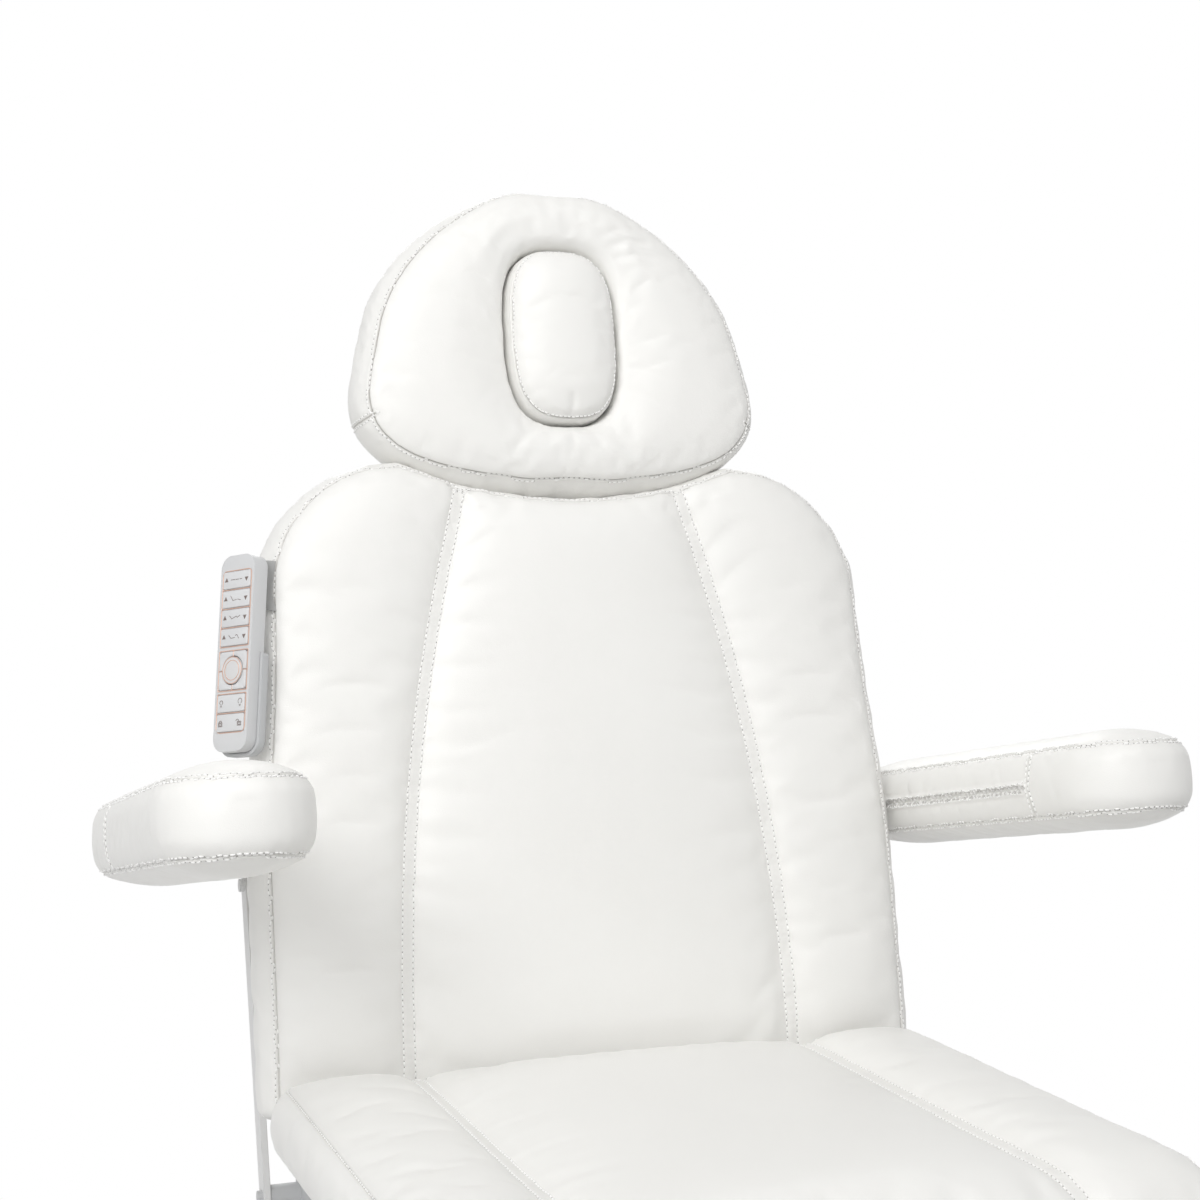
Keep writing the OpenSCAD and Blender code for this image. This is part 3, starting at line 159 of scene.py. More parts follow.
def dust(t, given):
    cloud = t.noise(given["Vector"], given["Scale"], 4.0, 0.6)
    normal = t.node("ShaderNodeNewGeometry").outputs["Normal"]
    up = t.node("ShaderNodeSeparateXYZ", {0: normal}).outputs["Z"]
    share = t.node("ShaderNodeMath", {0: up, 1: 0.35, 2: 0.5}, operation="MULTIPLY_ADD")
    return {"Mask": t.math("MULTIPLY", t.math("MULTIPLY", cloud, share), given["Amount"], clamp=True)}


def brushed(t, given):
    return {"Lines": t.noise(given["Vector"], given["Scale"], 6.0, 0.7)}


def weave(t, given):
    spot = t.node("ShaderNodeSeparateXYZ", {0: given["Vector"]})
    across = t.math("SINE", t.math("MULTIPLY", spot.outputs["X"], given["Scale"]))
    along = t.math("SINE", t.math("MULTIPLY", spot.outputs["Z"], given["Scale"]))
    over = t.math("MULTIPLY", across, along)
    return {"Height": t.between(over, 0.0, 1.0)}


GRAIN = group("LeatherGrain", [("Vector", VECTOR, None), ("Scale", FLOAT, 900.0)],
              [("Height", FLOAT)], leather_grain)
DUST = group("Dust", [("Vector", VECTOR, None), ("Scale", FLOAT, 6.0), ("Amount", FLOAT, 0.5)],
             [("Mask", FLOAT)], dust)
BRUSHED = group("BrushedLines", [("Vector", VECTOR, None), ("Scale", FLOAT, 300.0)],
                [("Lines", FLOAT)], brushed)
WEAVE = group("Weave", [("Vector", VECTOR, None), ("Scale", FLOAT, 4000.0)], [("Height", FLOAT)], weave)
print("groups", [g.name for g in (GRAIN, DUST, BRUSHED, WEAVE)])

# %% [markdown]
# One class is the skeleton of a finish. It holds the tree, the Object coordinates and the shader, so each
# finish only adds what is its own. Numbers that are the same all over a surface are set on the shader's own
# sockets, because the export reads them there.

# %% Skeleton of a finish


class Finish(Tree):
    def __init__(self, name, **sockets):
        self.material = bpy.data.materials.new(name)
        self.material.use_nodes = True
        super().__init__(self.material.node_tree)
        self.shader = self.tree.nodes["Principled BSDF"]
        for title, value in sockets.items():
            self.shader.inputs[title.replace("_", " ")].default_value = value
        self.spot = self.node("ShaderNodeTexCoord").outputs["Object"]

    def clouds(self, scale, detail=3.0):
        return self.noise(self.spot, scale, detail)

    def use(self, tree, spot=None, **values):
        made = self.node("ShaderNodeGroup", node_tree=tree)
        self.feed(self.spot if spot is None else spot, made.inputs["Vector"])
        for title, value in values.items():
            self.feed(value, made.inputs[title])
        return made.outputs[0]

    def paint(self, tone):
        self.feed(tone, self.shader.inputs["Base Color"])

    def roughen(self, share, low, high):
        self.feed(self.between(share, low, high), self.shader.inputs["Roughness"])

    def bump(self, height, strength, depth, soft=None):
        """Relief of a depth in metres; soft is the radius at which hard edges are rounded."""
        made = self.node("ShaderNodeBump", {"Height": height, "Strength": strength, "Distance": depth})
        if soft:
            self.feed(self.node("ShaderNodeBevel", {"Radius": soft}, samples=4), made.inputs["Normal"])
        self.feed(made, self.shader.inputs["Normal"])


def darker(tone, share):
    return tuple(v * share for v in tone)


# %% [markdown]
# The cover is white artificial leather: a satin, slightly creamy skin with a fine pebble grain.
# Shade is painted at the seams: a `seam` attribute from the sewing step darkens each crease and a band beside
# it.

# %% Leather, thread, tag and zip


def make_leather():
    f = Finish("white_leather", Specular_IOR_Level=0.42, Coat_Weight=0.10, Coat_Roughness=0.42)
    tone = f.colours(f.clouds(5.0), (0.885, 0.878, 0.852), (0.925, 0.92, 0.897))
    tone = f.colours(f.use(DUST, Scale=9.0, Amount=0.16), tone, (0.80, 0.785, 0.75))
    # Painted shade: the seam attribute mixes a dark grey into each seam's crease and a faint band beside it.
    seam = f.node("ShaderNodeAttribute", attribute_name="seam").outputs["Fac"]
    f.paint(f.colours(seam, tone, (0.36, 0.345, 0.32)))
    f.roughen(f.clouds(24.0, 4.0), 0.36, 0.50)
    f.bump(f.use(GRAIN, Scale=1100.0), 0.22, 0.00035)
    return f.material


def make_thread():
    # Painted light: a faint white emission brightens the thread, so that stitches lying in shade stay light.
    f = Finish("sewing_thread", Specular_IOR_Level=0.3, Sheen_Weight=0.4, Emission_Color=WHITE,
               Emission_Strength=0.07)
    f.paint(f.colours(f.clouds(900.0), (0.90, 0.895, 0.88), (0.96, 0.955, 0.945)))
    f.roughen(f.clouds(300.0), 0.55, 0.75)
    f.bump(f.use(WEAVE, Scale=9000.0), 0.5, 0.0002)
    return f.material


# Painted shade: the needle holes are small dark discs laid between the stitches, where the shade of each hole
# falls.
def make_hole_shade():
    f = Finish("needle_hole_shade", Specular_IOR_Level=0.1)
    f.paint(f.colours(f.clouds(400.0), (0.36, 0.355, 0.345), (0.50, 0.49, 0.475)))
    f.roughen(f.clouds(200.0), 0.8, 0.95)
    return f.material


def make_woven(name, dark, light, scale):
    f = Finish(name, Specular_IOR_Level=0.25, Sheen_Weight=0.3)
    threads = f.use(WEAVE, Scale=scale)
    f.paint(f.colours(f.clouds(120.0), f.colours(threads, dark, light), dark))
    f.roughen(f.clouds(80.0), 0.62, 0.85)
    f.bump(threads, 0.6, 0.0003)
    return f.material


WHITE = (1.0, 1.0, 1.0, 1.0)
LEATHER = make_leather()
THREAD = make_thread()
HOLE_SHADE = make_hole_shade()
TAG_CLOTH = make_woven("tag_cloth", (0.40, 0.40, 0.395), (0.64, 0.64, 0.63), 5200.0)
ZIP_TAPE = make_woven("zip_tape", (0.60, 0.59, 0.57), (0.78, 0.77, 0.75), 4200.0)
print("soft finishes", LEATHER.name, THREAD.name, TAG_CLOTH.name, ZIP_TAPE.name)

# %% [markdown]
# Hard finishes. Painted steel and moulded plastic share one recipe: a base colour that dust dulls, a fine
# texture in the bump and an edge rounded by the Bevel node, so that sharp CAD edges catch light as real ones
# do. Metals get brushed lines, drawn out along the tube, in their roughness.

# %% Painted, moulded and metal finishes


def make_coated(name, tone, worn, rough, grain, depth, amount=0.4, soft=0.0012):
    f = Finish(name)
    varied = f.colours(f.clouds(7.0, 4.0), tone, darker(tone, 0.93))
    f.paint(f.colours(f.use(DUST, Scale=11.0, Amount=amount), varied, worn))
    f.roughen(f.clouds(40.0, 5.0), rough - 0.06, rough + 0.08)
    f.bump(f.clouds(grain), 0.35, depth, soft)
    return f.material


def make_metal(name, tone, low, high, lines, stretch, soft=0.0008):
    f = Finish(name, Metallic=1.0)
    drawn = f.use(BRUSHED, f.stretched(f.spot, stretch), Scale=lines)
    f.paint(f.colours(f.clouds(12.0), tone, darker(tone, 0.9)))
    f.roughen(drawn, low, high)
    f.bump(drawn, 0.08, 0.0003, soft)
    return f.material


COATED = {
    "shell": ("moulded_shell", (0.83, 0.835, 0.835), (0.70, 0.69, 0.66), 0.42, 900.0, 0.0002),
    "panel": ("grey_panel", (0.54, 0.55, 0.56), (0.60, 0.60, 0.59), 0.44, 1300.0, 0.00015, 0.25),
    "frame": ("powder_coat", (0.60, 0.61, 0.62), (0.52, 0.51, 0.49), 0.40, 1600.0, 0.0002, 0.3),
    "black_plastic": ("black_plastic", (0.030, 0.031, 0.033), (0.16, 0.155, 0.15), 0.46, 1500.0, 0.0002, 0.35),
    "rubber": ("rubber_foot", (0.022, 0.022, 0.023), (0.15, 0.145, 0.14), 0.78, 700.0, 0.0004, 0.5),
    "handset": ("handset_shell", (0.69, 0.695, 0.705), (0.66, 0.655, 0.64), 0.40, 2200.0, 0.0001, 0.15, 0.0006),
    "key": ("handset_key", (0.74, 0.745, 0.755), (0.68, 0.675, 0.66), 0.34, 2600.0, 0.0001, 0.2, 0.0006),
    "copper_key": ("copper_ring_key", (0.74, 0.735, 0.735), (0.66, 0.64, 0.62), 0.34, 2600.0, 0.0001, 0.2,
                   0.0006),
    "red": ("red_rocker", (0.52, 0.02, 0.016), (0.42, 0.12, 0.10), 0.30, 1200.0, 0.0001, 0.2),
}
METALS = {
    "steel": ("satin_steel", (0.60, 0.60, 0.60), 0.26, 0.44, 60.0, (1.0, 14.0, 14.0)),
    "chrome": ("bright_chrome", (0.78, 0.78, 0.79), 0.06, 0.16, 90.0, (8.0, 1.0, 8.0), 0.0005),
    "aluminium": ("anodised_aluminium", (0.66, 0.67, 0.68), 0.30, 0.46, 70.0, (14.0, 14.0, 0.6)),
}
FINISHES = {slot: make_coated(*values) for slot, values in COATED.items()}
FINISHES.update({slot: make_metal(*values) for slot, values in METALS.items()})
print("hard finishes", sorted(FINISHES))

# %% [markdown]
# Boards are birch plywood: pale faces with long grain, and edges that show the glued layers.
# The copper print on the hand control is a thin metallic foil; the signs are dark ink.

# %% Plywood, foil and ink


def make_ply():
    f = Finish("birch_ply", Specular_IOR_Level=0.3)
    grain = f.noise(f.stretched(f.spot, (26.0, 2.0, 26.0)), 3.0, 6.0, 0.6)
    layers = f.node("ShaderNodeTexWave", {"Vector": f.spot, "Scale": 95.0, "Distortion": 0.6},
                    bands_direction="Z").outputs["Fac"]
    wood = f.colours(grain, (0.60, 0.43, 0.25), (0.76, 0.61, 0.41))
    f.paint(f.colours(f.math("MULTIPLY", layers, 0.35), wood, (0.42, 0.27, 0.14)))
    f.roughen(grain, 0.52, 0.70)
    f.bump(grain, 0.25, 0.0004, 0.001)
    return f.material


def make_foil(name, tone, metal, rough):
    f = Finish(name, Metallic=metal)
    f.paint(f.colours(f.clouds(200.0), tone, darker(tone, 0.85)))
    f.roughen(f.clouds(500.0), rough, rough + 0.12)
    return f.material


FINISHES["ply"] = make_ply()
COPPER = make_foil("copper_foil", (0.74, 0.47, 0.36), 0.35, 0.30)
INK = make_foil("sign_ink", (0.20, 0.155, 0.14), 0.0, 0.45)
ZIP_METAL = make_foil("zip_metal", (0.72, 0.72, 0.72), 1.0, 0.25)
print("also", FINISHES["ply"].name, COPPER.name, INK.name, ZIP_METAL.name)

# %% [markdown]
# Each CAD node keeps its shape where that is right already, and takes the finish of its material slot.
# The brackets of the arm pads are painted white, like the cushions that they stand beside.

# %% Finishes on the CAD nodes
slot_of_node = {part["node"]: part["material_slot"] for part in frame["record"]["subparts"]}
WHITE_COAT = make_coated("white_powder_coat", (0.84, 0.84, 0.835), (0.74, 0.735, 0.72), 0.42, 1600.0, 0.0002,
                         0.2)


def dress(thing, material):
    thing.data.materials.clear()
    thing.data.materials.append(material)


for name, thing in NODES.items():
    bracket = name.startswith(("arm_carrier", "arm_link"))
    dress(thing, WHITE_COAT if bracket else FINISHES.get(slot_of_node.get(name), LEATHER))
print("dressed", len(slot_of_node), "nodes")

# %% [markdown]
# A pale studio: a round floor that fades to plain white, and a white surround for camera, mirror and glass
# rays only. The surround lights the chair more weakly, and five large soft lamps model its forms.
# The strongest stands to the left of the camera, so the right-hand sides fall into shade, as in the photograph.

# %% Stage and lamps
FADE_START, FADE_END = 0.75, 1.25
SURROUND_LIGHT = 0.46


def seen_directly(t):
    path = t.node("ShaderNodeLightPath")
    either = t.math("ADD", path.outputs["Is Camera Ray"], path.outputs["Is Glossy Ray"], clamp=True)
    return t.math("ADD", either, path.outputs["Is Transmission Ray"], clamp=True)


def make_floor():
    f = Finish("pale_floor", Roughness=0.9)
    f.paint(f.colours(f.clouds(3.0), (0.74, 0.74, 0.74), (0.78, 0.78, 0.78)))
    radius = f.node("ShaderNodeVectorMath", {0: f.spot}, operation="LENGTH").outputs["Value"]
    rim = f.node("ShaderNodeMapRange", {"Value": radius, "From Min": FADE_START, "From Max": FADE_END},
                 interpolation_type="SMOOTHSTEP")
    glow = f.node("ShaderNodeEmission", {"Color": WHITE, "Strength": 1.0})
    share = f.math("MULTIPLY", rim, seen_directly(f))
    f.feed(f.node("ShaderNodeMixShader", {0: share, 1: f.shader, 2: glow}),
           f.tree.nodes["Material Output"].inputs["Surface"])
    return f.material


bpy.ops.object.select_all(action="DESELECT")
bpy.ops.mesh.primitive_circle_add(vertices=96, radius=3.2, fill_type="NGON", location=(0.0, 0.0, 0.0))
floor = bpy.context.object
floor.name = "studio_floor"
dress(floor, make_floor())

world = bpy.data.worlds.new("white_surround")
bpy.context.scene.world = world
world.use_nodes = True
t = Tree(world.node_tree)
background = world.node_tree.nodes["Background"]
t.feed(t.between(seen_directly(t), SURROUND_LIGHT, 1.0), background.inputs["Strength"])
background.inputs["Color"].default_value = WHITE


def lamp(name, place, aim, size, watts):
    data = bpy.data.lights.new(name, "AREA")
    data.shape = "DISK"
    data.size = size
    data.energy = watts
    made = bpy.data.objects.new(name, data)
    made.location = place
    made.rotation_euler = (Vector(aim) - Vector(place)).to_track_quat("-Z", "Y").to_euler()
    bpy.context.scene.collection.objects.link(made)


lamp("key_left", (-2.0, -2.1, 2.5), (0.0, 0.0, 0.85), 1.6, 40)
lamp("overhead", (-0.4, -1.3, 3.0), (0.0, 0.0, 0.7), 1.4, 17)
lamp("side_left", (-1.7, -0.7, 1.0), (-0.35, 0.1, 0.8), 0.8, 1)
lamp("fill_right", (2.4, -2.6, 1.6), (0.0, 0.0, 0.8), 2.0, 2)
lamp("rear", (0.8, 2.8, 2.4), (0.0, 0.2, 0.8), 1.8, 16)
print("stage ready")

# %% [markdown]
# Helpers for modelling. `select_only` keeps the operators away from everything else, `bare_copy` takes a CAD
# solid as the start of a soft piece, and `local` turns world points into a cushion's own directions:
# across, along its length, and out of its face.

# %% Modelling helpers


@contextmanager
def edit_mode():
    """Edit mode with all of the active piece selected."""
    bpy.ops.object.mode_set(mode="EDIT")
    bpy.ops.mesh.select_all(action="SELECT")
    yield
    bpy.ops.object.mode_set(mode="OBJECT")


def select_only(*things):
    bpy.ops.object.select_all(action="DESELECT")
    for thing in things:
        thing.select_set(True)
    bpy.context.view_layer.objects.active = things[0]


def apply(thing, kind, **values):
    select_only(thing)
    modifier = thing.modifiers.new(kind.lower(), kind)
    for name, value in values.items():
        setattr(modifier, name, value)
    bpy.ops.object.modifier_apply(modifier=modifier.name)


def bare_copy(node, name):
    made = NODES[node].copy()
    made.data = made.data.copy()
    made.name = name
    made.parent = None
    made.matrix_world = Matrix.Identity(4)
    bpy.context.scene.collection.objects.link(made)
    select_only(made)
    with edit_mode():
        bpy.ops.mesh.remove_doubles(threshold=0.00001)
    return made


def points_of(thing, kind="co"):
    values = np.empty(len(thing.data.vertices) * 3)
    thing.data.vertices.foreach_get(kind, values)
    return values.reshape(-1, 3)


def move_points(thing, values):
    thing.data.vertices.foreach_set("co", np.ascontiguousarray(values, dtype=np.float64).ravel())
    thing.data.update()


def smooth(thing, angle=None):
    select_only(thing)
    if angle is None:
        bpy.ops.object.shade_smooth()
    else:
        bpy.ops.object.shade_smooth_by_angle(angle=math.radians(angle))


class Plane:
    """A cushion's own directions: across, along and out, with millimetres as its unit."""

    def __init__(self, start, across, along, out):
        self.start = np.array(start) * MM
        self.axes = np.array([across, along, out], dtype=float)

    def world(self, points):
        return self.start + np.asarray(points, dtype=float) * MM @ self.axes

    def local(self, points):
        return (np.asarray(points) - self.start) @ self.axes.T / MM


def tilted(degrees):
    return math.cos(math.radians(degrees)), math.sin(math.radians(degrees))


SIDEWAYS = np.array([1.0, 0.0, 0.0])
HIP = np.array([0.0, 210.0, 600.0])
cos_b, sin_b = tilted(11.0)
UP_BACK = np.array([0.0, sin_b, cos_b])
BEHIND = np.array([0.0, cos_b, -sin_b])
cos_l, sin_l = tilted(78.0)
cos_a, sin_a = tilted(9.5)
SEAT = Plane((0, 197, 600), SIDEWAYS, (0, -1, 0), (0, 0, 1))
BACK = Plane(HIP - 25 * UP_BACK, SIDEWAYS, UP_BACK, -BEHIND)
HEAD = Plane(HIP + 682 * UP_BACK + BEHIND, SIDEWAYS, UP_BACK, -BEHIND)
LEG_ALONG = np.array([0.0, -cos_l, -sin_l])
LEG_OUT = np.array([0.0, -sin_l, cos_l])
LEG = Plane(np.array([0.0, -293.0, 520.0]) + 14 * LEG_ALONG + 80 * LEG_OUT, SIDEWAYS, LEG_ALONG, LEG_OUT)
ARM = {side: Plane((385 * side, 358, 800), (side, 0, 0), (0, -cos_a, sin_a), (0, sin_a, cos_a))
       for side in (-1, 1)}
print("planes ready")

# %% [markdown]
# Seams are lines of closely spaced points that lie on the cushion. A line is written in the cushion's own
# millimetres, evened out, and laid on the surface. Three kinds of line occur: rows across the top face,
# the seam round a cushion where the top meets the boxing, and short joins across the boxing.

# %% Seam lines
SEAM_STEP = 0.6


def evened(points, step, closed=False):
    points = np.asarray(points, dtype=float)
    if closed:
        points = np.vstack([points, points[:1]])
    lengths = np.r_[0.0, np.cumsum(np.linalg.norm(np.diff(points, axis=0), axis=1))]
    count = max(2, int(round(lengths[-1] / step)) + 1)
    marks = np.linspace(0.0, lengths[-1], count)
    made = np.stack([np.interp(marks, lengths, points[:, k]) for k in range(3)], axis=1)
    return made[:-1] if closed else made


def surface_of(thing):
    return BVHTree.FromPolygons([tuple(p) for p in points_of(thing)],
                                [tuple(f.vertices) for f in thing.data.polygons])


def laid_down(tree, plane, points):
    """Points of the top face, dropped on it along the direction that faces out."""
    down = Vector(-plane.axes[2])
    hits = [tree.ray_cast(Vector(point) - down * 0.12, down, 0.25)[0] for point in plane.world(points)]
    return np.array([hit for hit in hits if hit is not None])


def pulled_on(tree, points):
    """World points, moved to the nearest spot of the surface."""
    found = [tree.find_nearest(Vector(p)) for p in points]
    return np.array([f[0] for f in found]), np.array([f[1] for f in found])


def relaxed(points, rounds, closed):
    points = np.array(points)
    for _ in range(rounds):
        before, after = np.roll(points, 1, axis=0), np.roll(points, -1, axis=0)
        moved = 0.5 * points + 0.25 * (before + after)
        if not closed:
            moved[0], moved[-1] = points[0], points[-1]
        points = moved
    return points


def seam_line(spots, rounds=0, closed=False):
    """Spots of a surface, smoothed and evened out into the closely spaced points of a seam."""
    return evened(relaxed(spots, rounds, closed), SEAM_STEP * MM, closed=closed)


def half_at(l, half, length, corner):
    """Half the width of a panel cushion at a distance along it, with its round corners."""
    if l <= length - corner:
        return half
    return half - corner + math.sqrt(max(0.0, corner ** 2 - (l - length + corner) ** 2))


def rim_line(half, length, corner, dip=0.0, roll=0.0, wall=60.0):
    """The seam round a panel cushion, from its near corner up one side, across its end and back."""
    def height(l):
        if roll == 0.0 or length - l >= roll:
            return 0.0
        q = 1 - (length - l) / roll
        return wall * (0.12 + 0.88 * math.sqrt(max(0.0, 1 - q * q)) - 1)
    turn = length - corner + corner * np.sin(np.linspace(0, math.pi / 2, 40))[1:]
    straight = [(half_at(l, half, length, corner), l, height(l))
                for l in np.r_[np.linspace(0, length - corner, 60), turn]]
    end = straight[-1][0]
    across = [(x, length - dip * (1 - (x / end) ** 2), height(length))
              for x in np.linspace(end, -end, 60)[1:-1]]
    other = [(-x, l, z) for x, l, z in reversed(straight)]
    return straight + across + other


print("seam helpers ready")

# %% [markdown]
# The cover of a cushion is cloth held at its seams while the foam presses outwards. So each pad starts from
# its CAD solid, is remeshed evenly, and swells for twenty frames as Blender cloth under pressure. Points near
# a seam and on the foot are held, and no point may move further than its cap.

# %% Remesh and swell
FAR, REACH = 999.0, 30.0
BATCH, COARSE, SPARE = 4000, 16, 0.012
CLOTH_FRAMES = 20
CLOTH = {"quality": 5, "mass": 0.25, "use_pressure": True, "uniform_pressure_force": 4.0,
         "vertex_group_mass": "held", "shrink_min": -0.01}
HELD_NEAR, HELD_FADE = 2.0, 12.0


def distances(points, line, reach=REACH):
    """Distance in millimetres from each point to a line, for those within reach, and the nearest spot."""
    tree = KDTree(len(line))
    for index, point in enumerate(line):
        tree.insert(Vector(point), index)
    tree.balance()
    away, index = np.full(len(points), FAR), np.zeros(len(points), dtype=int)
    coarse = line[::COARSE]
    for first in range(0, len(points), BATCH):
        some = points[first:first + BATCH]
        apart = np.linalg.norm(some[:, None, :] - coarse[None, :, :], axis=2).min(axis=1)
        for k in np.nonzero(apart < reach * MM + SPARE)[0]:
            _, index[first + k], away[first + k] = tree.find(Vector(some[k]))
            away[first + k] /= MM
    return away, index


def swell(pad, plane, held_lines, cap, foot):
    start = points_of(pad)
    away, _ = distances(start, np.vstack(held_lines))
    weights = np.clip(1.0 - (away - HELD_NEAR) / HELD_FADE, 0.0, 1.0)
    weights[plane.local(start)[:, 2] < foot] = 1.0
    held = pad.vertex_groups.new(name="held")
    for index, weight in enumerate(weights):
        held.add([index], float(weight), "REPLACE")
    select_only(pad)
    cloth = pad.modifiers.new("cloth", "CLOTH")
    for name, value in CLOTH.items():
        setattr(cloth.settings, name, value)
    cloth.settings.effector_weights.gravity = 0.0
    cloth.point_cache.frame_start = 1
    cloth.point_cache.frame_end = CLOTH_FRAMES
    for step in range(1, CLOTH_FRAMES + 1):
        bpy.context.scene.frame_set(step)
    bpy.ops.object.modifier_apply(modifier="cloth")
    bpy.context.scene.frame_set(1)
    pad.vertex_groups.clear()
    moved = np.nan_to_num(points_of(pad) - start)
    size = np.linalg.norm(moved, axis=1, keepdims=True) / MM
    limited = moved * np.tanh(size / cap) * cap / np.maximum(size, 1e-9)
    move_points(pad, start + limited)
    print(pad.name, "swelled by up to", round(float(np.linalg.norm(limited, axis=1).max() / MM), 1), "mm")


def soft_start(node, name, voxel, plane, held_lines, cap, foot):
    """cap: how far a point may swell; foot: the height below which all is held, both in millimetres."""
    pad = bare_copy(node, name)
    apply(pad, "REMESH", mode="VOXEL", voxel_size=voxel)
    swell(pad, plane, held_lines, cap, foot)
    apply(pad, "SUBSURF", levels=1, render_levels=1)
    smooth(pad)
    return pad


# %% [markdown]
# Sewing comes after the cloth. The mesh is refined beside each seam line, then pressed in along a profile:
# a broad valley or a crease where two panels meet, a shallow dip under each row of stitches, and a small
# swelling between. A slow wave along the line gathers the leather into the soft puckers of a sewn seam.

# %% Sewing helpers
DOUBLE_ROW, RIM_ROW, ARM_ROW, JOIN_ROW = 5.2, 3.6, 3.4, 3.2
NEAR_SEAM, SEAM_REACH = 2.1, 40.0
# SHADE_WIDTH sets the narrow painted shade in a seam's crease; the other two paint a faint, wider band of shade
# beside every seam.
SHADE_WIDTH, SEAM_BAND_SHADE, SEAM_BAND_SHADE_WIDTH = 0.75, 0.09, 5.5


def refined(pad, line, reach, cuts):
    centres = np.empty(len(pad.data.polygons) * 3)
    pad.data.polygons.foreach_get("center", centres)
    away, _ = distances(centres.reshape(-1, 3), line, reach)
    select_only(pad)
    bpy.context.tool_settings.mesh_select_mode = (False, False, True)
    bpy.ops.object.mode_set(mode="EDIT")
    bpy.ops.mesh.select_all(action="DESELECT")
    bpy.ops.object.mode_set(mode="OBJECT")
    pad.data.polygons.foreach_set("select", away < reach)
    bpy.ops.object.mode_set(mode="EDIT")
    bpy.ops.mesh.subdivide(number_cuts=cuts)
    bpy.ops.object.mode_set(mode="OBJECT")


def bell(d, width):
    return np.exp(-(d / width) ** 2)


def dents(d, *listed):
    """Each dent is (depth, distance from the seam, width); a negative depth swells."""
    return sum(depth * bell(d - place, width) for depth, place, width in listed)


def gathers(along, d, size):
    wave = (np.sin(along / 2.9 + 0.4) + 0.7 * np.sin(along / 4.7 + 1.9) + 0.5 * np.sin(along / 8.3 + 0.8)) / 2.2
    return size * wave * bell(d - 7.0, 6.0)


def double_seam(d, along):
    ripple = np.sin(along / 1.1) + 0.8 * np.sin(along / 1.9 + 0.7)
    return (dents(d, (3.6, 0.0, 15.0), (0.8, DOUBLE_ROW, 1.3), (-0.55, 0.0, 3.2)) + 0.10 * ripple * bell(d, 4.0)
            + gathers(along, d, 0.22))


def rim_seam(d, along):
    return dents(d, (0.9, 0.0, 4.0), (1.3, 0.0, 0.9), (-0.35, 2.0, 1.2)) + gathers(along, d, 0.25)


def join_seam(d, along):
    return dents(d, (0.9, 0.0, 0.9), (0.45, 3.4, 1.1), (-0.2, 1.9, 0.9)) + gathers(along, d, 0.2)


def sewn(pad, lines, cuts=2):
    """lines: a list of (points, profile, darkness of the painted crease shade, reach)."""
    for points, _, _, reach in lines:
        refined(pad, points, reach, cuts)
    for points, _, _, _ in lines:
        refined(pad, points, NEAR_SEAM, 1)
    painted_seam_shade = np.zeros(len(pad.data.vertices))
    base, out = points_of(pad), points_of(pad, "normal")
    sunk = np.zeros(len(base))
    for points, profile, dark, _ in lines:
        away, index = distances(base, points)
        sunk = np.where(away < SEAM_REACH, sunk + profile(away, index * SEAM_STEP), sunk)
        # Painted shade for the seam attribute: dark in the crease, and a faint band on each side of it.
        painted_seam_shade = np.maximum(painted_seam_shade, dark * bell(away, SHADE_WIDTH) + SEAM_BAND_SHADE * bell(away, SEAM_BAND_SHADE_WIDTH))
    move_points(pad, base - out * sunk[:, None] * MM)
    attribute = pad.data.attributes.new("seam", "FLOAT", "POINT")
    attribute.data.foreach_set("value", painted_seam_shade.astype(np.float32))


def pressed(pad, plane, folds, deepest=-25.0):
    """folds: (path, depth, width) in the top face, a path of (across, along); a negative depth is a ridge."""
    for path, depth, width in folds:
        spots = plane.local(points_of(pad))
        line = evened([(x, y, 0.0) for x, y in path], 1.0)
        flat = spots.copy()
        flat[:, 2] = 0.0
        away, index = distances(flat * MM, line * MM)
        fade = np.sin(np.pi * np.clip(index / (len(line) - 1), 0.02, 0.98)) ** 0.8
        spots[:, 2] -= np.where(spots[:, 2] > deepest, depth * fade * bell(away, width), 0.0)
        move_points(pad, plane.world(spots))


# %% [markdown]
# One stitch is modelled once: a small sphere drawn out to a bead of thread whose ends sink into the leather.
# Its copies are set along the rows, each turned to the seam and laid on the surface.

# %% Stitches
PROUD = 0.12


def taken(thing):
    """Points and faces of a pattern that is repeated later; the pattern itself goes."""
    points, faces = points_of(thing), [tuple(face.vertices) for face in thing.data.polygons]
    bpy.data.objects.remove(thing)
    return points, faces


bpy.ops.object.select_all(action="DESELECT")
bpy.ops.mesh.primitive_uv_sphere_add(segments=8, ring_count=5, radius=0.5)
with edit_mode():
    bpy.ops.transform.rotate(value=math.pi / 2, orient_axis="Y", center_override=(0.0, 0.0, 0.0))
    bpy.ops.transform.resize(value=(4.3, 1.5, 1.3))
STITCH_POINTS, STITCH_FACES = taken(bpy.context.object)
STITCH_POINTS[:, 2] -= 0.16 * STITCH_POINTS[:, 0] ** 2 - 0.3
# A small dark disc for the needle holes: painted shade between the stitches.
bpy.ops.mesh.primitive_circle_add(vertices=7, radius=0.62, fill_type="NGON")
HOLE_POINTS, HOLE_FACES = taken(bpy.context.object)


def repeated(name, points, faces, spots, frames):
    """One mesh of many copies: points in millimetres, frames as rows (along, side, out)."""
    count = len(points)
    placed = np.vstack([spot + points @ turn * MM for spot, turn in zip(spots, frames)])
    listed = [tuple(v + count * k for v in face) for k in range(len(spots)) for face in faces]
    mesh = bpy.data.meshes.new(name)
    mesh.from_pydata(placed.tolist(), [], listed)
    made = bpy.data.objects.new(name, mesh)
    bpy.context.scene.collection.objects.link(made)
    smooth(made)
    return made


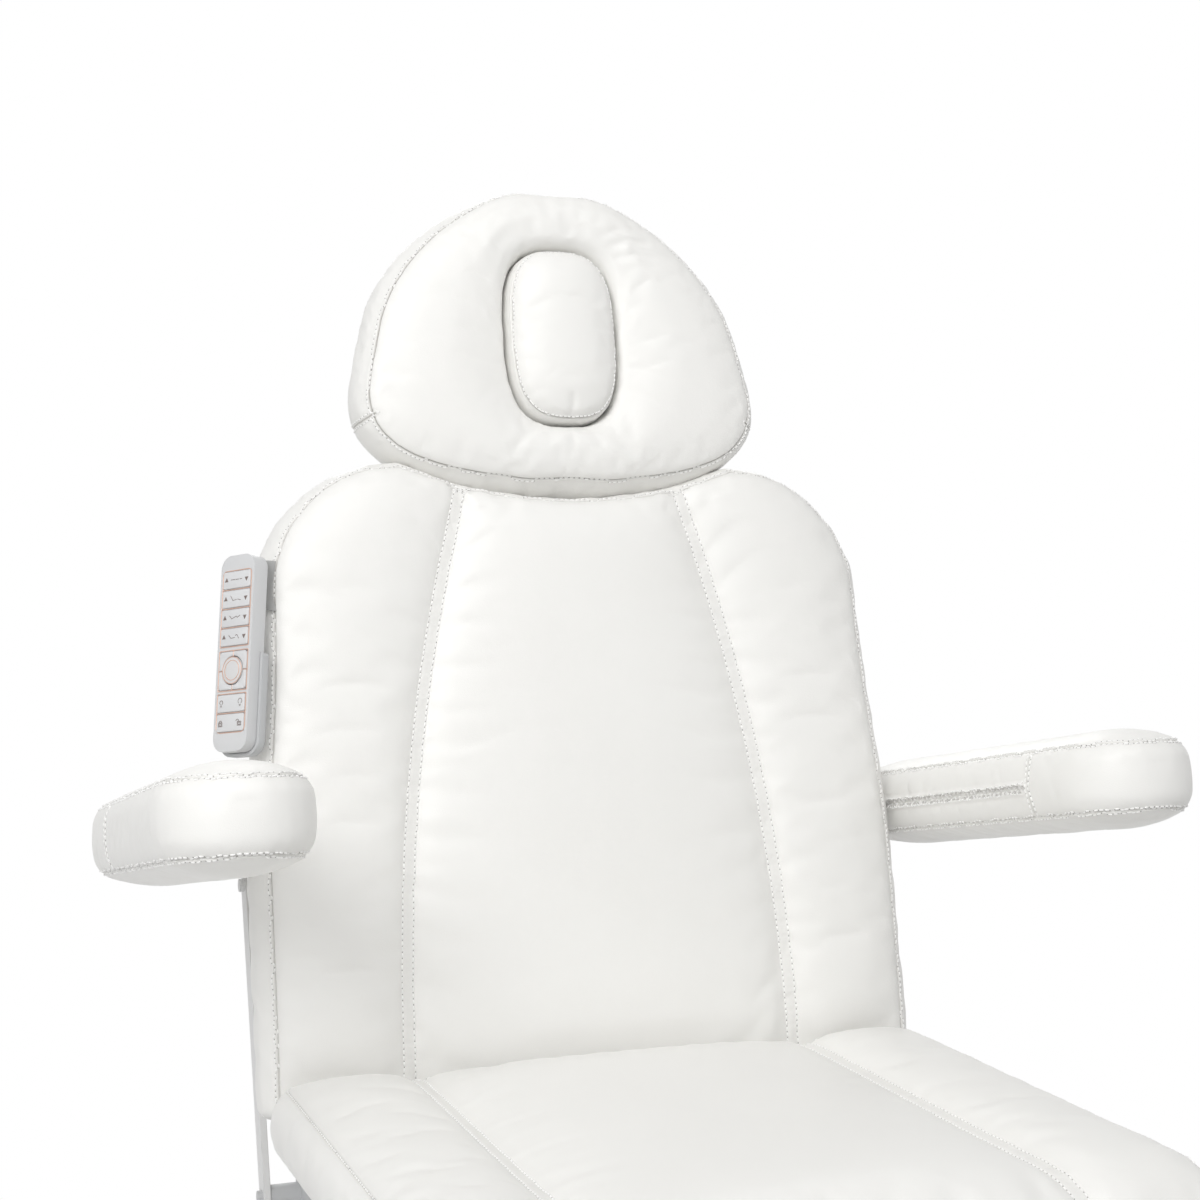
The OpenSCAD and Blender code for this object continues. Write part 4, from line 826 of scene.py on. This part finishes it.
def unit(vectors):
    return vectors / np.maximum(np.linalg.norm(vectors, axis=1, keepdims=True), 1e-9)


def frames_along(spots, normals, closed):
    ahead = np.roll(spots, -1, axis=0) - np.roll(spots, 1, axis=0)
    if not closed:
        ahead[0], ahead[-1] = spots[1] - spots[0], spots[-1] - spots[-2]
    ahead = unit(ahead)
    side = unit(np.cross(normals, ahead))
    return np.stack([ahead, side, np.cross(ahead, side)], axis=1)


def finished(piece, material, body, slot):
    dress(piece, material)
    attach(piece, body)


def stitched(pad, name, body, rows, pitch=5.3):
    """rows: a list of (points, offsets in mm, closed)."""
    tree = surface_of(pad)
    stitches, stitch_frames, hole_shades, hole_frames = [], [], [], []
    for points, offsets, closed in rows:
        spots, normals = pulled_on(tree, evened(points, 1.0 * MM))
        turns = frames_along(spots, normals, closed)
        for offset in offsets:
            row = evened(relaxed(spots + turns[:, 1] * offset * MM, 4, closed), pitch * MM, closed)
            spot, normal = pulled_on(tree, row)
            stitches.append(spot + normal * PROUD * MM)
            stitch_frames.append(frames_along(spot, normal, closed))
            # Dark discs midway between the stitches paint the shade of the needle holes.
            spot, normal = pulled_on(tree, (row[1:] + row[:-1]) / 2)
            hole_shades.append(spot + normal * PROUD * MM)
            hole_frames.append(frames_along(spot, normal, False))
    made = repeated(name, STITCH_POINTS, STITCH_FACES, np.vstack(stitches), np.vstack(stitch_frames))
    finished(made, THREAD, body, "upholstery")
    made = repeated(name + "_holes", HOLE_POINTS, HOLE_FACES, np.vstack(hole_shades), np.vstack(hole_frames))
    finished(made, HOLE_SHADE, body, "upholstery")
    print(name, sum(len(s) for s in stitches), "stitches")


def finish_pad(pad, node, body):
    finished(pad, LEATHER, body, "upholstery")
    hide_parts(node)
    print(pad.name, len(pad.data.polygons), "faces")


# %% [markdown]
# Seat, back and leg rest are panel cushions: three lengthwise panels joined by two channel seams with a row of
# stitches on each side, and a boxing sewn on all round. The channels of the back lean in towards the neck.

# %% Seat, back and leg cushions
SEAT_SHAPE = {"half": 295, "length": 490, "corner": 24, "near": 187, "far": 187, "roll": 72}
BACK_SHAPE = {"half": 292, "length": 579, "corner": 124, "near": 187, "far": 110, "dip": 33}
LEG_SHAPE = {"half": 290, "length": 416, "corner": 60, "near": 183, "far": 173}
NECK_FOLDS = [([(-96, 520), (-112, 546), (-118, 566)], 1.6, 3.6),
              ([(-88, 526), (-101, 548), (-106, 562)], -0.8, 4.0),
              ([(-70, 536), (-76, 548), (-78, 558)], 0.7, 3.0), ([(88, 524), (98, 542), (104, 560)], 0.8, 4.0),
              ([(-40, 8), (-20, 22), (10, 30)], 0.6, 6.0), ([(70, 10), (50, 30), (48, 44)], 0.6, 6.0)]
SEAT_FOLDS = [([(-60, 14), (-40, 34), (-30, 60)], 0.8, 6.0), ([(90, 12), (70, 40), (66, 70)], 0.7, 7.0),
              ([(-200, 30), (-206, 60), (-204, 90)], 0.6, 5.0)]


def as_it_is(spots):
    return spots


def fuller_sides(spots, wider=12.5, top=430.0, fade=230.0, inner=190.0, edge=95.0):
    """The lower half of the backrest is a little fuller at its sides."""
    spots = np.array(spots, dtype=float)
    share = np.clip((top - spots[:, 1]) / fade, 0.0, 1.0)
    reach = np.clip((np.abs(spots[:, 0]) - inner) / edge, 0.0, 1.0)
    spots[:, 0] += np.sign(spots[:, 0]) * wider * share ** 2 * (3 - 2 * share) * reach ** 2 * (3 - 2 * reach)
    return spots


def fuller_seat(spots, wider=8.0, higher=4.0, inner=190.0, edge=90.0, thick=30.0, fade=300.0):
    """The seat's outer panels are a little wider and stand up towards the backrest."""
    spots = np.array(spots, dtype=float)
    reach = np.clip((np.abs(spots[:, 0]) - inner) / edge, 0.0, 1.0)
    spots[:, 0] += np.sign(spots[:, 0]) * wider * reach
    top = np.clip((spots[:, 2] + thick) / thick, 0.0, 1.0)
    spots[:, 2] += higher * top * np.clip(1.0 - spots[:, 1] / fade, 0.0, 1.0)
    return spots


def panel_cushion(name, plane, body, half, length, corner, near, far, dip=0.0, roll=0.0, folds=(), cap=6.0,
                  fuller=as_it_is):
    """near and far: how far the channel seams stand from the middle, at the hip and at the other end."""
    def channels(tree):
        for side in (-1, 1):
            line = []
            for l in np.linspace(3.0, length - 2.0, 140):
                v = l / length
                x = near + (far - near) * v ** 2.2
                line.append((side * x, l - dip * v * (1 - (x / half_at(l, half, length, corner)) ** 2), 20.0))
            yield laid_down(tree, plane, line)

    node = name + "_cushion"
    rim = rim_line(half, length, corner, dip, roll)
    rim_flat = evened(plane.world(rim), 1.0 * MM, closed=True)
    rim_world = evened(plane.world(fuller(rim)), 1.0 * MM, closed=True)
    held = [rim_flat, *channels(surface_of(NODES[node]))]
    pad = soft_start(node, name + "_pad", 0.008, plane, held, cap, -48.0)
    move_points(pad, plane.world(fuller(plane.local(points_of(pad)))))
    pressed(pad, plane, folds)
    tree = surface_of(pad)
    seams = [seam_line(line, 6) for line in channels(tree)]
    rim_on = seam_line(pulled_on(tree, rim_world)[0], 12, True)
    sewn(pad, [(line, double_seam, 0.0, 9.0) for line in seams] + [(rim_on, rim_seam, 0.5, 5.0)])
    inward = -1 if np.cross(rim[1], rim[80])[2] > 0 else 1
    stitched(pad, name + "_stitches", body,
             [(line, (-DOUBLE_ROW, DOUBLE_ROW), False) for line in seams]
             + [(rim_on, (RIM_ROW * inward,), True)])
    finish_pad(pad, node, body)
    return pad


seat_pad = panel_cushion("seat", SEAT, "seat", **SEAT_SHAPE, folds=SEAT_FOLDS, fuller=fuller_seat)
back_pad = panel_cushion("back", BACK, "backrest", **BACK_SHAPE, folds=NECK_FOLDS, fuller=fuller_sides)
leg_pad = panel_cushion("leg", LEG, "leg_rest", **LEG_SHAPE, cap=5.0)

# %% [markdown]
# The headrest is a boxed egg with an oval face hole, and a plug that fills the hole and stands proud.
# Its face is one stretched panel, so it shows only soft puckers where the leather is drawn into the hole.

# %% Headrest and face plug
EGG_W, EGG_H, EGG_POWER, EGG_TAPER = 178, 141, 2 / 2.6, 0.35
HOLE_W, HOLE_H, SQUARE_POWER = 56, 87, 3.0
HEAD_FOLDS = [([(48, 90), (72, 98), (104, 96)], 2.2, 3.6), ([(54, 78), (80, 84), (112, 80)], 1.9, 3.6),
              ([(40, 98), (60, 108), (92, 110)], 1.6, 3.6), ([(66, 66), (90, 74), (118, 70)], 0.5, 4.5),
              ([(-58, 84), (-78, 100), (-100, 108)], 0.4, 5.0), ([(0, -92), (2, -106), (-4, -124)], 1.0, 4.5),
              ([(64, -30), (84, -34), (106, -42)], 0.5, 4.0), ([(62, -52), (84, -62), (112, -78)], 0.6, 4.5)]
PLUG_FOLDS = [([(0, -84), (2, -72), (0, -58)], 2.0, 3.6), ([(50, 2), (40, 4), (30, 3)], 0.6, 3.0),
              ([(50, -16), (40, -14), (31, -15)], 0.6, 3.0), ([(50, 20), (41, 22), (33, 21)], 0.5, 3.0)]
PLUG_FILLS_HOLE = [1.012, 1.012, 1.0]


def signed_power(value, n):
    return math.copysign(abs(value) ** n, value)


def egg_at(degrees):
    a = math.radians(degrees)
    return (EGG_W * signed_power(math.cos(a), EGG_POWER) * (1 - EGG_TAPER * math.sin(a)),
            EGG_H * signed_power(math.sin(a), EGG_POWER))


def oval_at(degrees, grow=0.0):
    a = math.radians(degrees)
    return (HOLE_W + grow) * math.cos(a), (HOLE_H + grow) * math.sin(a)


def squarer(spots):
    """Draws the oval hole and its plug out to a rectangle with wide rounded ends."""
    spots = np.array(spots, dtype=float)
    u, v = spots[:, 0] / HOLE_W, spots[:, 1] / HOLE_H
    reach = np.hypot(u, v)
    flat = np.maximum(reach, 1e-6)
    grow = (np.abs(u / flat) ** SQUARE_POWER + np.abs(v / flat) ** SQUARE_POWER) ** (-1 / SQUARE_POWER)
    share = np.clip((2.1 - reach) / 1.1, 0.0, 1.0)
    spots[:, :2] *= (1 + (grow - 1) * share ** 2 * (3 - 2 * share))[:, None]
    return spots


def fuller_egg(spots, wider=0.022, higher=3.0, hanging=10.0):
    """The headrest is a little wider and higher, and its lower boxing hangs down to the backrest."""
    spots = np.array(spots, dtype=float)
    edge = np.clip((np.hypot(spots[:, 0] / EGG_W, spots[:, 1] / EGG_H) - 0.62) / 0.38, 0.0, 1.0)
    spots[:, 0] *= 1 + wider * edge
    spots[:, 1] += np.where(spots[:, 1] > 0, higher, 0.0) * edge * np.clip(spots[:, 1] / 90.0, 0.0, 1.0)
    low = np.clip((-spots[:, 1] - 95.0) / 40.0, 0.0, 1.0) * np.clip((-spots[:, 2] - 4.0) / 26.0, 0.0, 1.0)
    spots[:, 1] -= hanging * low * (1 - (np.clip(np.abs(spots[:, 0]) / 185.0, 0.0, 1.0)) ** 4)
    return squarer(spots)


def round_line(outline, height, step=SEAM_STEP, shape=as_it_is):
    points = HEAD.world(shape([(*outline(d), height) for d in np.arange(0.0, 360.0, 1.0)]))
    return evened(points, step * MM, closed=True)


def headrest():
    held = [round_line(egg_at, 0.0), round_line(lambda d: oval_at(d, 1.5), 4.0, 2.0)]
    pad = soft_start("headrest_cushion", "headrest_pad", 0.005, HEAD, held, 3.0, -52.0)
    move_points(pad, HEAD.world(fuller_egg(HEAD.local(points_of(pad)))))
    pressed(pad, HEAD, HEAD_FOLDS)
    tree = surface_of(pad)
    rim = seam_line(pulled_on(tree, round_line(egg_at, 0.0, shape=fuller_egg))[0], 4, True)
    joins = []
    for degrees in (209, 331):
        x, y = egg_at(degrees)
        reach = [(x * k, y * k, z) for k, z in zip(np.linspace(1.0, 1.09, 24), np.linspace(-1, -54, 24))]
        joins.append(seam_line(pulled_on(tree, HEAD.world(reach))[0]))
    sewn(pad, [(rim, rim_seam, 0.85, 5.0)] + [(line, join_seam, 0.7, 4.5) for line in joins], 1)
    stitched(pad, "headrest_stitches", "headrest",
             [(rim, (-RIM_ROW,), True)] + [(line, (-JOIN_ROW, JOIN_ROW), False) for line in joins])
    finish_pad(pad, "headrest_cushion", "headrest")


def face_plug():
    edge = round_line(lambda d: oval_at(d, -1.5), 8.0)
    pad = soft_start("face_plug", "face_plug_pad", 0.004, HEAD, [edge], 2.0, 2.0)
    move_points(pad, HEAD.world(squarer(HEAD.local(points_of(pad))) * PLUG_FILLS_HOLE))
    pressed(pad, HEAD, PLUG_FOLDS)
    edge = round_line(lambda d: oval_at(d, -2.0), 9.0, shape=squarer)
    edge = seam_line(pulled_on(surface_of(pad), edge)[0], 6, True)
    sewn(pad, [(edge, rim_seam, 0.5, 4.5)], 1)
    stitched(pad, "face_plug_stitches", "face_plug", [(edge, (JOIN_ROW,), True)], pitch=4.6)
    finish_pad(pad, "face_plug", "face_plug")


headrest()
face_plug()

# %% [markdown]
# The arm pads are boxed all round and have a zip in the rear half of their inner side, in a slot between two
# folded lips. It ends at an upright seam. The zip is a coil of small teeth with a slider.

# %% Arm pads
ARM_HALF, ARM_LEN, REAR_R, NOSE_R = 53, 440, 16, 52
ARM_SEAM, ARM_SIDE = 30, 64
ZIP_START, ZIP_END, ZIP_LOW = 40, 329, -3
ZIP_JOIN, OUTER_JOIN, ZIP_ROW = 335, 112, 7.4


def arm_outline():
    """Outline of an arm pad in (across, along): tight rear corners and a round nose."""
    rear, nose = ARM_HALF - REAR_R, ARM_HALF - NOSE_R
    made = []
    for cx, cy, r, start in ((rear, REAR_R, REAR_R, 270), (nose, ARM_LEN - NOSE_R, NOSE_R, 0),
                             (-nose, ARM_LEN - NOSE_R, NOSE_R, 90), (-rear, REAR_R, REAR_R, 180)):
        for k in range(13):
            a = math.radians(start + 7.5 * k)
            made.append((cx + r * math.cos(a), cy + r * math.sin(a)))
    return made


def zip_slot(d, along):
    slot = 2.6 / (1 + np.exp((np.minimum(d, 12.0) - 2.1) * 3.5))
    return slot - 0.9 * bell(d - 4.6, 1.7) + 0.35 * bell(d - ZIP_ROW, 1.0)


def zip_path(plane, start, end):
    return plane.world([(-ARM_SIDE, l, ZIP_LOW) for l in range(start, end, 2)])


def arm_pad(side):
    plane, word = ARM[side], {1: "left", -1: "right"}[side]
    body = "armrest_" + word
    rims = [evened(plane.world([(x, y, z) for x, y in arm_outline()]), SEAM_STEP * MM, closed=True)
            for z in (ARM_SEAM, -ARM_SEAM)]
    pad = soft_start("arm_pad_" + word, "arm_cover_" + word, 0.005, plane, rims, 3.0, -400.0)
    tree = surface_of(pad)
    rims = [seam_line(pulled_on(tree, rim)[0], 16, True) for rim in rims]
    zip_line = seam_line(pulled_on(tree, zip_path(plane, ZIP_START, ZIP_END))[0], 4)
    joins = [seam_line(pulled_on(tree, plane.world([(x, l, z) for z in np.linspace(-29, 29, 30)]))[0])
             for x, l in ((-ARM_SIDE, ZIP_JOIN), (ARM_SIDE, OUTER_JOIN))]
    sewn(pad, [(rim, rim_seam, 0.28, 5.0) for rim in rims] + [(line, join_seam, 0.5, 4.5) for line in joins]
         + [(zip_line, zip_slot, 0.0, 9.0)], 1)
    stitched(pad, "arm_stitches_" + word, body,
             [(rim, (-ARM_ROW, ARM_ROW), True) for rim in rims]
             + [(line, (-JOIN_ROW, JOIN_ROW), False) for line in joins]
             + [(zip_line, (-ZIP_ROW, ZIP_ROW), False)], pitch=5.2)
    finish_pad(pad, "arm_pad_" + word, body)
    add_zip(plane, pad, word, body)


def add_zip(plane, pad, word, body):
    path, normals = pulled_on(surface_of(pad), evened(zip_path(plane, ZIP_START + 4, ZIP_END - 2), 1.9 * MM))
    turns = frames_along(path, normals, False)
    offset = np.arange(len(path)) % 2 * 1.3 - 0.65
    spots = path + normals * 0.5 * MM + turns[:, 1] * offset[:, None] * MM
    coil = repeated("zip_coil_" + word, TOOTH_POINTS, TOOTH_FACES, spots, turns)
    slider = repeated("zip_slider_" + word, SLIDER_POINTS, SLIDER_FACES, [path[8] + normals[8] * 1.4 * MM],
                      [turns[8]])
    finished(coil, ZIP_TAPE, body, "upholstery")
    finished(slider, ZIP_METAL, body, "chrome")


def modelled_block(size, edge, taper=1.0):
    """A small bevelled block, kept as points and faces so that it can be repeated."""
    bpy.ops.object.select_all(action="DESELECT")
    bpy.ops.mesh.primitive_cube_add(size=1.0)
    with edit_mode():
        bpy.ops.transform.resize(value=size)
        bpy.ops.mesh.bevel(offset=edge, segments=2, affect="EDGES")
    points, faces = taken(bpy.context.object)
    points[:, 1] *= np.where(points[:, 0] > 0, taper, 1.0)
    return points, faces


TOOTH_POINTS, TOOTH_FACES = modelled_block((1.3, 2.2, 1.1), 0.28)
SLIDER_POINTS, SLIDER_FACES = modelled_block((9.0, 6.4, 2.6), 0.8, 0.7)
for arm_side in (-1, 1):
    arm_pad(arm_side)

# %% [markdown]
# Moulded and sheet-metal pieces have no knife edges. Where an edge is seen close up, the CAD solid is copied,
# its flat faces are joined again, and the edges are rounded with a bevel. The rest keep the CAD mesh and get
# their soft edges from the material.

# %% Rounded edges
body_of = {node: body for body, nodes in frame["record"]["behaviour"]["bodies"].items() for node in nodes}
# Each node with the radius of its edges in millimetres and the bevel's segments
SOFT_EDGES = {"handset_body": (1.8, 3), "handset_holder": (0.8, 2), "base_cover": (2.5, 3),
              "side_covers": (0.9, 2), "control_box": (2.0, 2), "power_inlet": (0.5, 1),
              "mains_switch": (0.5, 2), "clamp_knob": (0.8, 2), "seat_board": (1.5, 2),
              "back_board": (1.5, 2), "leg_board": (1.5, 2), "headrest_board": (1.2, 2)}
SOFT_EDGES.update({node: (0.7, 2) for node in NODES if node.startswith("key_")})
FLAT, SHARP, SMOOTH = 0.6, 32, 38

for node, (width, segments) in SOFT_EDGES.items():
    made = bare_copy(node, node + "_finished")
    with edit_mode():
        bpy.ops.mesh.dissolve_limited(angle_limit=math.radians(FLAT))
    apply(made, "BEVEL", width=width * MM, segments=segments, limit_method="ANGLE",
          angle_limit=math.radians(SHARP))
    smooth(made, SMOOTH)
    finished(made, FINISHES[slot_of_node[node]], body_of[node], slot_of_node[node])
    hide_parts(node)
print("rounded", len(SOFT_EDGES), "pieces")

# %% [markdown]
# The hand control carries its keys in frames of thin copper foil, and small printed signs. Lines are drawn
# as fine wires on the face, made into meshes, and triangles are repeated from one three-sided prism.
# Signs on a key move with that key.

# %% Foil lines and signs
cos_h, sin_h = tilted(5.0)
cos_y, sin_y = tilted(57.0)
HAND_SIDE = cos_h * SIDEWAYS - sin_h * UP_BACK
HAND = Plane(HIP + 378 * UP_BACK - 322.5 * SIDEWAYS, cos_y * HAND_SIDE - sin_y * BEHIND,
             sin_h * SIDEWAYS + cos_h * UP_BACK, -sin_y * HAND_SIDE - cos_y * BEHIND)
FACE, KEY_TOP = 8.0, 9.0
ROWS = {"key_lift": 65.4, "key_back": 48.2, "key_tilt": 31.0, "key_leg": 13.8, "key_light": -45.4,
        "key_lock": -62.6}
HALF, PITCH, ROUND_Z, BLOCK = 17.9, 8.6, -16.2, 17.9
INNER_RING, OUTER_RING, CROSS_START = 8.9, 11.9, 12.7
FOIL, LINE = 0.42, 0.3


def wires(name, height, paths, radius, material, body, slot):
    """paths: lists of (across, along) points; a path that ends where it starts is closed."""
    curve = bpy.data.curves.new(name, "CURVE")
    curve.dimensions = "3D"
    curve.bevel_depth = radius * MM
    curve.bevel_resolution = 1
    curve.use_fill_caps = True
    for path in paths:
        closed = path[0] == path[-1]
        spots = HAND.world([(x, y, height) for x, y in (path[:-1] if closed else path)])
        spline = curve.splines.new("POLY")
        spline.points.add(len(spots) - 1)
        spline.points.foreach_set("co", np.c_[spots, np.ones(len(spots))].ravel())
        spline.use_cyclic_u = closed
    made = bpy.data.objects.new(name, curve)
    bpy.context.scene.collection.objects.link(made)
    select_only(made)
    bpy.ops.object.convert(target="MESH")
    made = bpy.context.object
    smooth(made, 50)
    finished(made, material, body, slot)


def arc(cx, cy, r, start, end, count=12):
    angles = np.radians(np.linspace(start, end, count))
    return [(cx + r * math.cos(a), cy + r * math.sin(a)) for a in angles]


def boxed(half, low, high, low_r=0.6, high_r=0.6):
    """A closed frame from low to high, with round corners of their own radius at each end."""
    x, top = half - high_r, high - high_r
    made = arc(x, top, high_r, 0, 90, 7) + arc(-x, top, high_r, 90, 180, 7)
    x, bottom = half - low_r, low + low_r
    made += arc(-x, bottom, low_r, 180, 270, 7) + arc(x, bottom, low_r, 270, 360, 7)
    return made + made[:1]


def moved(paths, x, y):
    return [[(px + x, py + y) for px, py in path] for path in paths]


frames = [boxed(HALF, ROWS["key_leg"] - PITCH, ROWS["key_lift"] + PITCH, 0.8, 4.0),
          boxed(HALF, ROUND_Z - BLOCK, ROUND_Z + BLOCK),
          boxed(HALF, ROWS["key_lock"] - PITCH, ROWS["key_light"] + PITCH, 5.0, 0.8)]
frames += [[(-HALF, z), (HALF, z)] for z in (56.8, 39.6, 22.4, -54.0)]
frames += [[(-HALF, ROUND_Z), (-CROSS_START, ROUND_Z)], [(CROSS_START, ROUND_Z), (HALF, ROUND_Z)],
           [(0.0, ROUND_Z - BLOCK), (0.0, ROUND_Z - CROSS_START)],
           [(0.0, ROUND_Z + CROSS_START), (0.0, ROUND_Z + BLOCK)]]
wires("copper_frames", FACE + 0.05, frames, FOIL, COPPER, "handset", "copper_key")
rings = [arc(0, ROUND_Z, INNER_RING, 0, 360, 41), arc(0, ROUND_Z, OUTER_RING, 0, 360, 49)]
wires("copper_rings", KEY_TOP + 0.4, rings, 0.34, COPPER, "key_centre", "copper_key")
LOCK = [boxed(2.3, -3.0, 0.4, 0.2, 0.2), boxed(1.3, -2.2, -0.4, 0.2, 0.2)]
SIGNS = {
    "key_lift": [[(-7, 0.2), (-2, 0.2)], [(-1, 0.2), (3, 0.2)], [(4, 0.2), (7, 0.2)]],
    "key_back": [[(-6.5, 2.8), (-3.4, -1.6), (1.2, -0.9)], [(2.6, -0.8), (6.4, -1.8)]],
    "key_tilt": [[(-6.8, 2.0), (-3.6, -0.9)], [(-3.6, -0.9), (1.8, 1.2), (3.2, -0.2)],
                 [(3.2, -0.2), (6.6, 1.6)]],
    "key_leg": [[(-6.6, 1.8), (-3.6, -1.2)], [(-3.6, -1.2), (1.2, -0.8)],
                [(1.8, 0.9), (3.8, 1.7), (6.4, -2.0)]],
    "key_light": [arc(-11.8, 1.0, 1.9, -60, 240, 10), [(-12.7, -1.8), (-10.9, -1.8)],
                  [(-12.4, -2.7), (-11.2, -2.7)], arc(11.8, 1.2, 2.4, -60, 240, 10),
                  [(10.7, -2.0), (12.9, -2.0)], [(11.1, -3.0), (12.5, -3.0)]],
    "key_lock": (moved([*LOCK, arc(0, 0.6, 1.5, 0, 180, 8)], -11.8, 0) + moved(LOCK, 12.0, 0)
                 + [arc(9.6, 0.8, 1.6, 0, 180, 8)]),
}
for name, paths in SIGNS.items():
    wires("sign_" + name, KEY_TOP, moved(paths, 0, ROWS[name]), LINE, INK, name, "key")
print("hand control signs on", len(SIGNS), "keys")

# %% Arrow signs
ARROW_X = 12.6
bpy.ops.object.select_all(action="DESELECT")
bpy.ops.mesh.primitive_cylinder_add(vertices=3, radius=2.6, depth=0.2)
ARROW_POINTS, ARROW_FACES = taken(bpy.context.object)
ARROW_POINTS = ARROW_POINTS[:, [1, 0, 2]]
ARROW_FACES = [tuple(reversed(face)) for face in ARROW_FACES]
across, along, out = HAND.axes
for name in ("key_lift", "key_back", "key_tilt", "key_leg"):
    spots = HAND.world([(-ARROW_X, ROWS[name], KEY_TOP), (ARROW_X, ROWS[name], KEY_TOP)])
    arrows = repeated("arrows_" + name, ARROW_POINTS, ARROW_FACES, spots,
                      [np.array([along, -across, out]), np.array([-along, across, out])])
    smooth(arrows, 20)
    finished(arrows, INK, name, "key")
print("arrow signs ready")

# %% [markdown]
# A small folded strip of woven tape is caught in the seam of the backrest on the sitter's right. It stays bare.

# %% Woven tag
TAG_LOW, TAG_HIGH, TAG_POINTS = 441, 487, 60
TAG_WIDTH, TAG_SUNK = 9.0, 0.6


def woven_tag():
    edge = [(-half_at(l, BACK_SHAPE["half"], BACK_SHAPE["length"], BACK_SHAPE["corner"]), l, 0.0)
            for l in np.linspace(TAG_LOW, TAG_HIGH, TAG_POINTS)]
    line = relaxed(pulled_on(surface_of(back_pad), BACK.world(edge))[0], 60, False)
    bpy.ops.object.select_all(action="DESELECT")
    bpy.ops.mesh.primitive_grid_add(x_subdivisions=6, y_subdivisions=30, size=1.0)
    tag = bpy.context.object
    tag.name = "woven_tag"
    share = points_of(tag)[:, :2] + 0.5
    marks = np.linspace(0, 1, TAG_POINTS)
    foot = np.stack([np.interp(share[:, 1], marks, line[:, k]) for k in range(3)], axis=1)
    lean = np.array([-0.93, 0.12, -0.30]) @ BACK.axes
    curl = np.array([-0.2, 0.0, 1.0]) @ BACK.axes
    width = share[:, 0] * TAG_WIDTH - TAG_SUNK
    lift = 0.7 + 0.5 * np.sin(share[:, 0] * 3.0)
    move_points(tag, foot + (np.outer(width, lean) + np.outer(lift, curl)) * MM)
    apply(tag, "SOLIDIFY", thickness=0.0009, offset=0.0)
    apply(tag, "BEVEL", width=0.25 * MM, segments=2, limit_method="ANGLE")
    smooth(tag, 40)
    finished(tag, TAG_CLOTH, "backrest", "upholstery")
    print("tag", len(tag.data.polygons), "faces")


woven_tag()
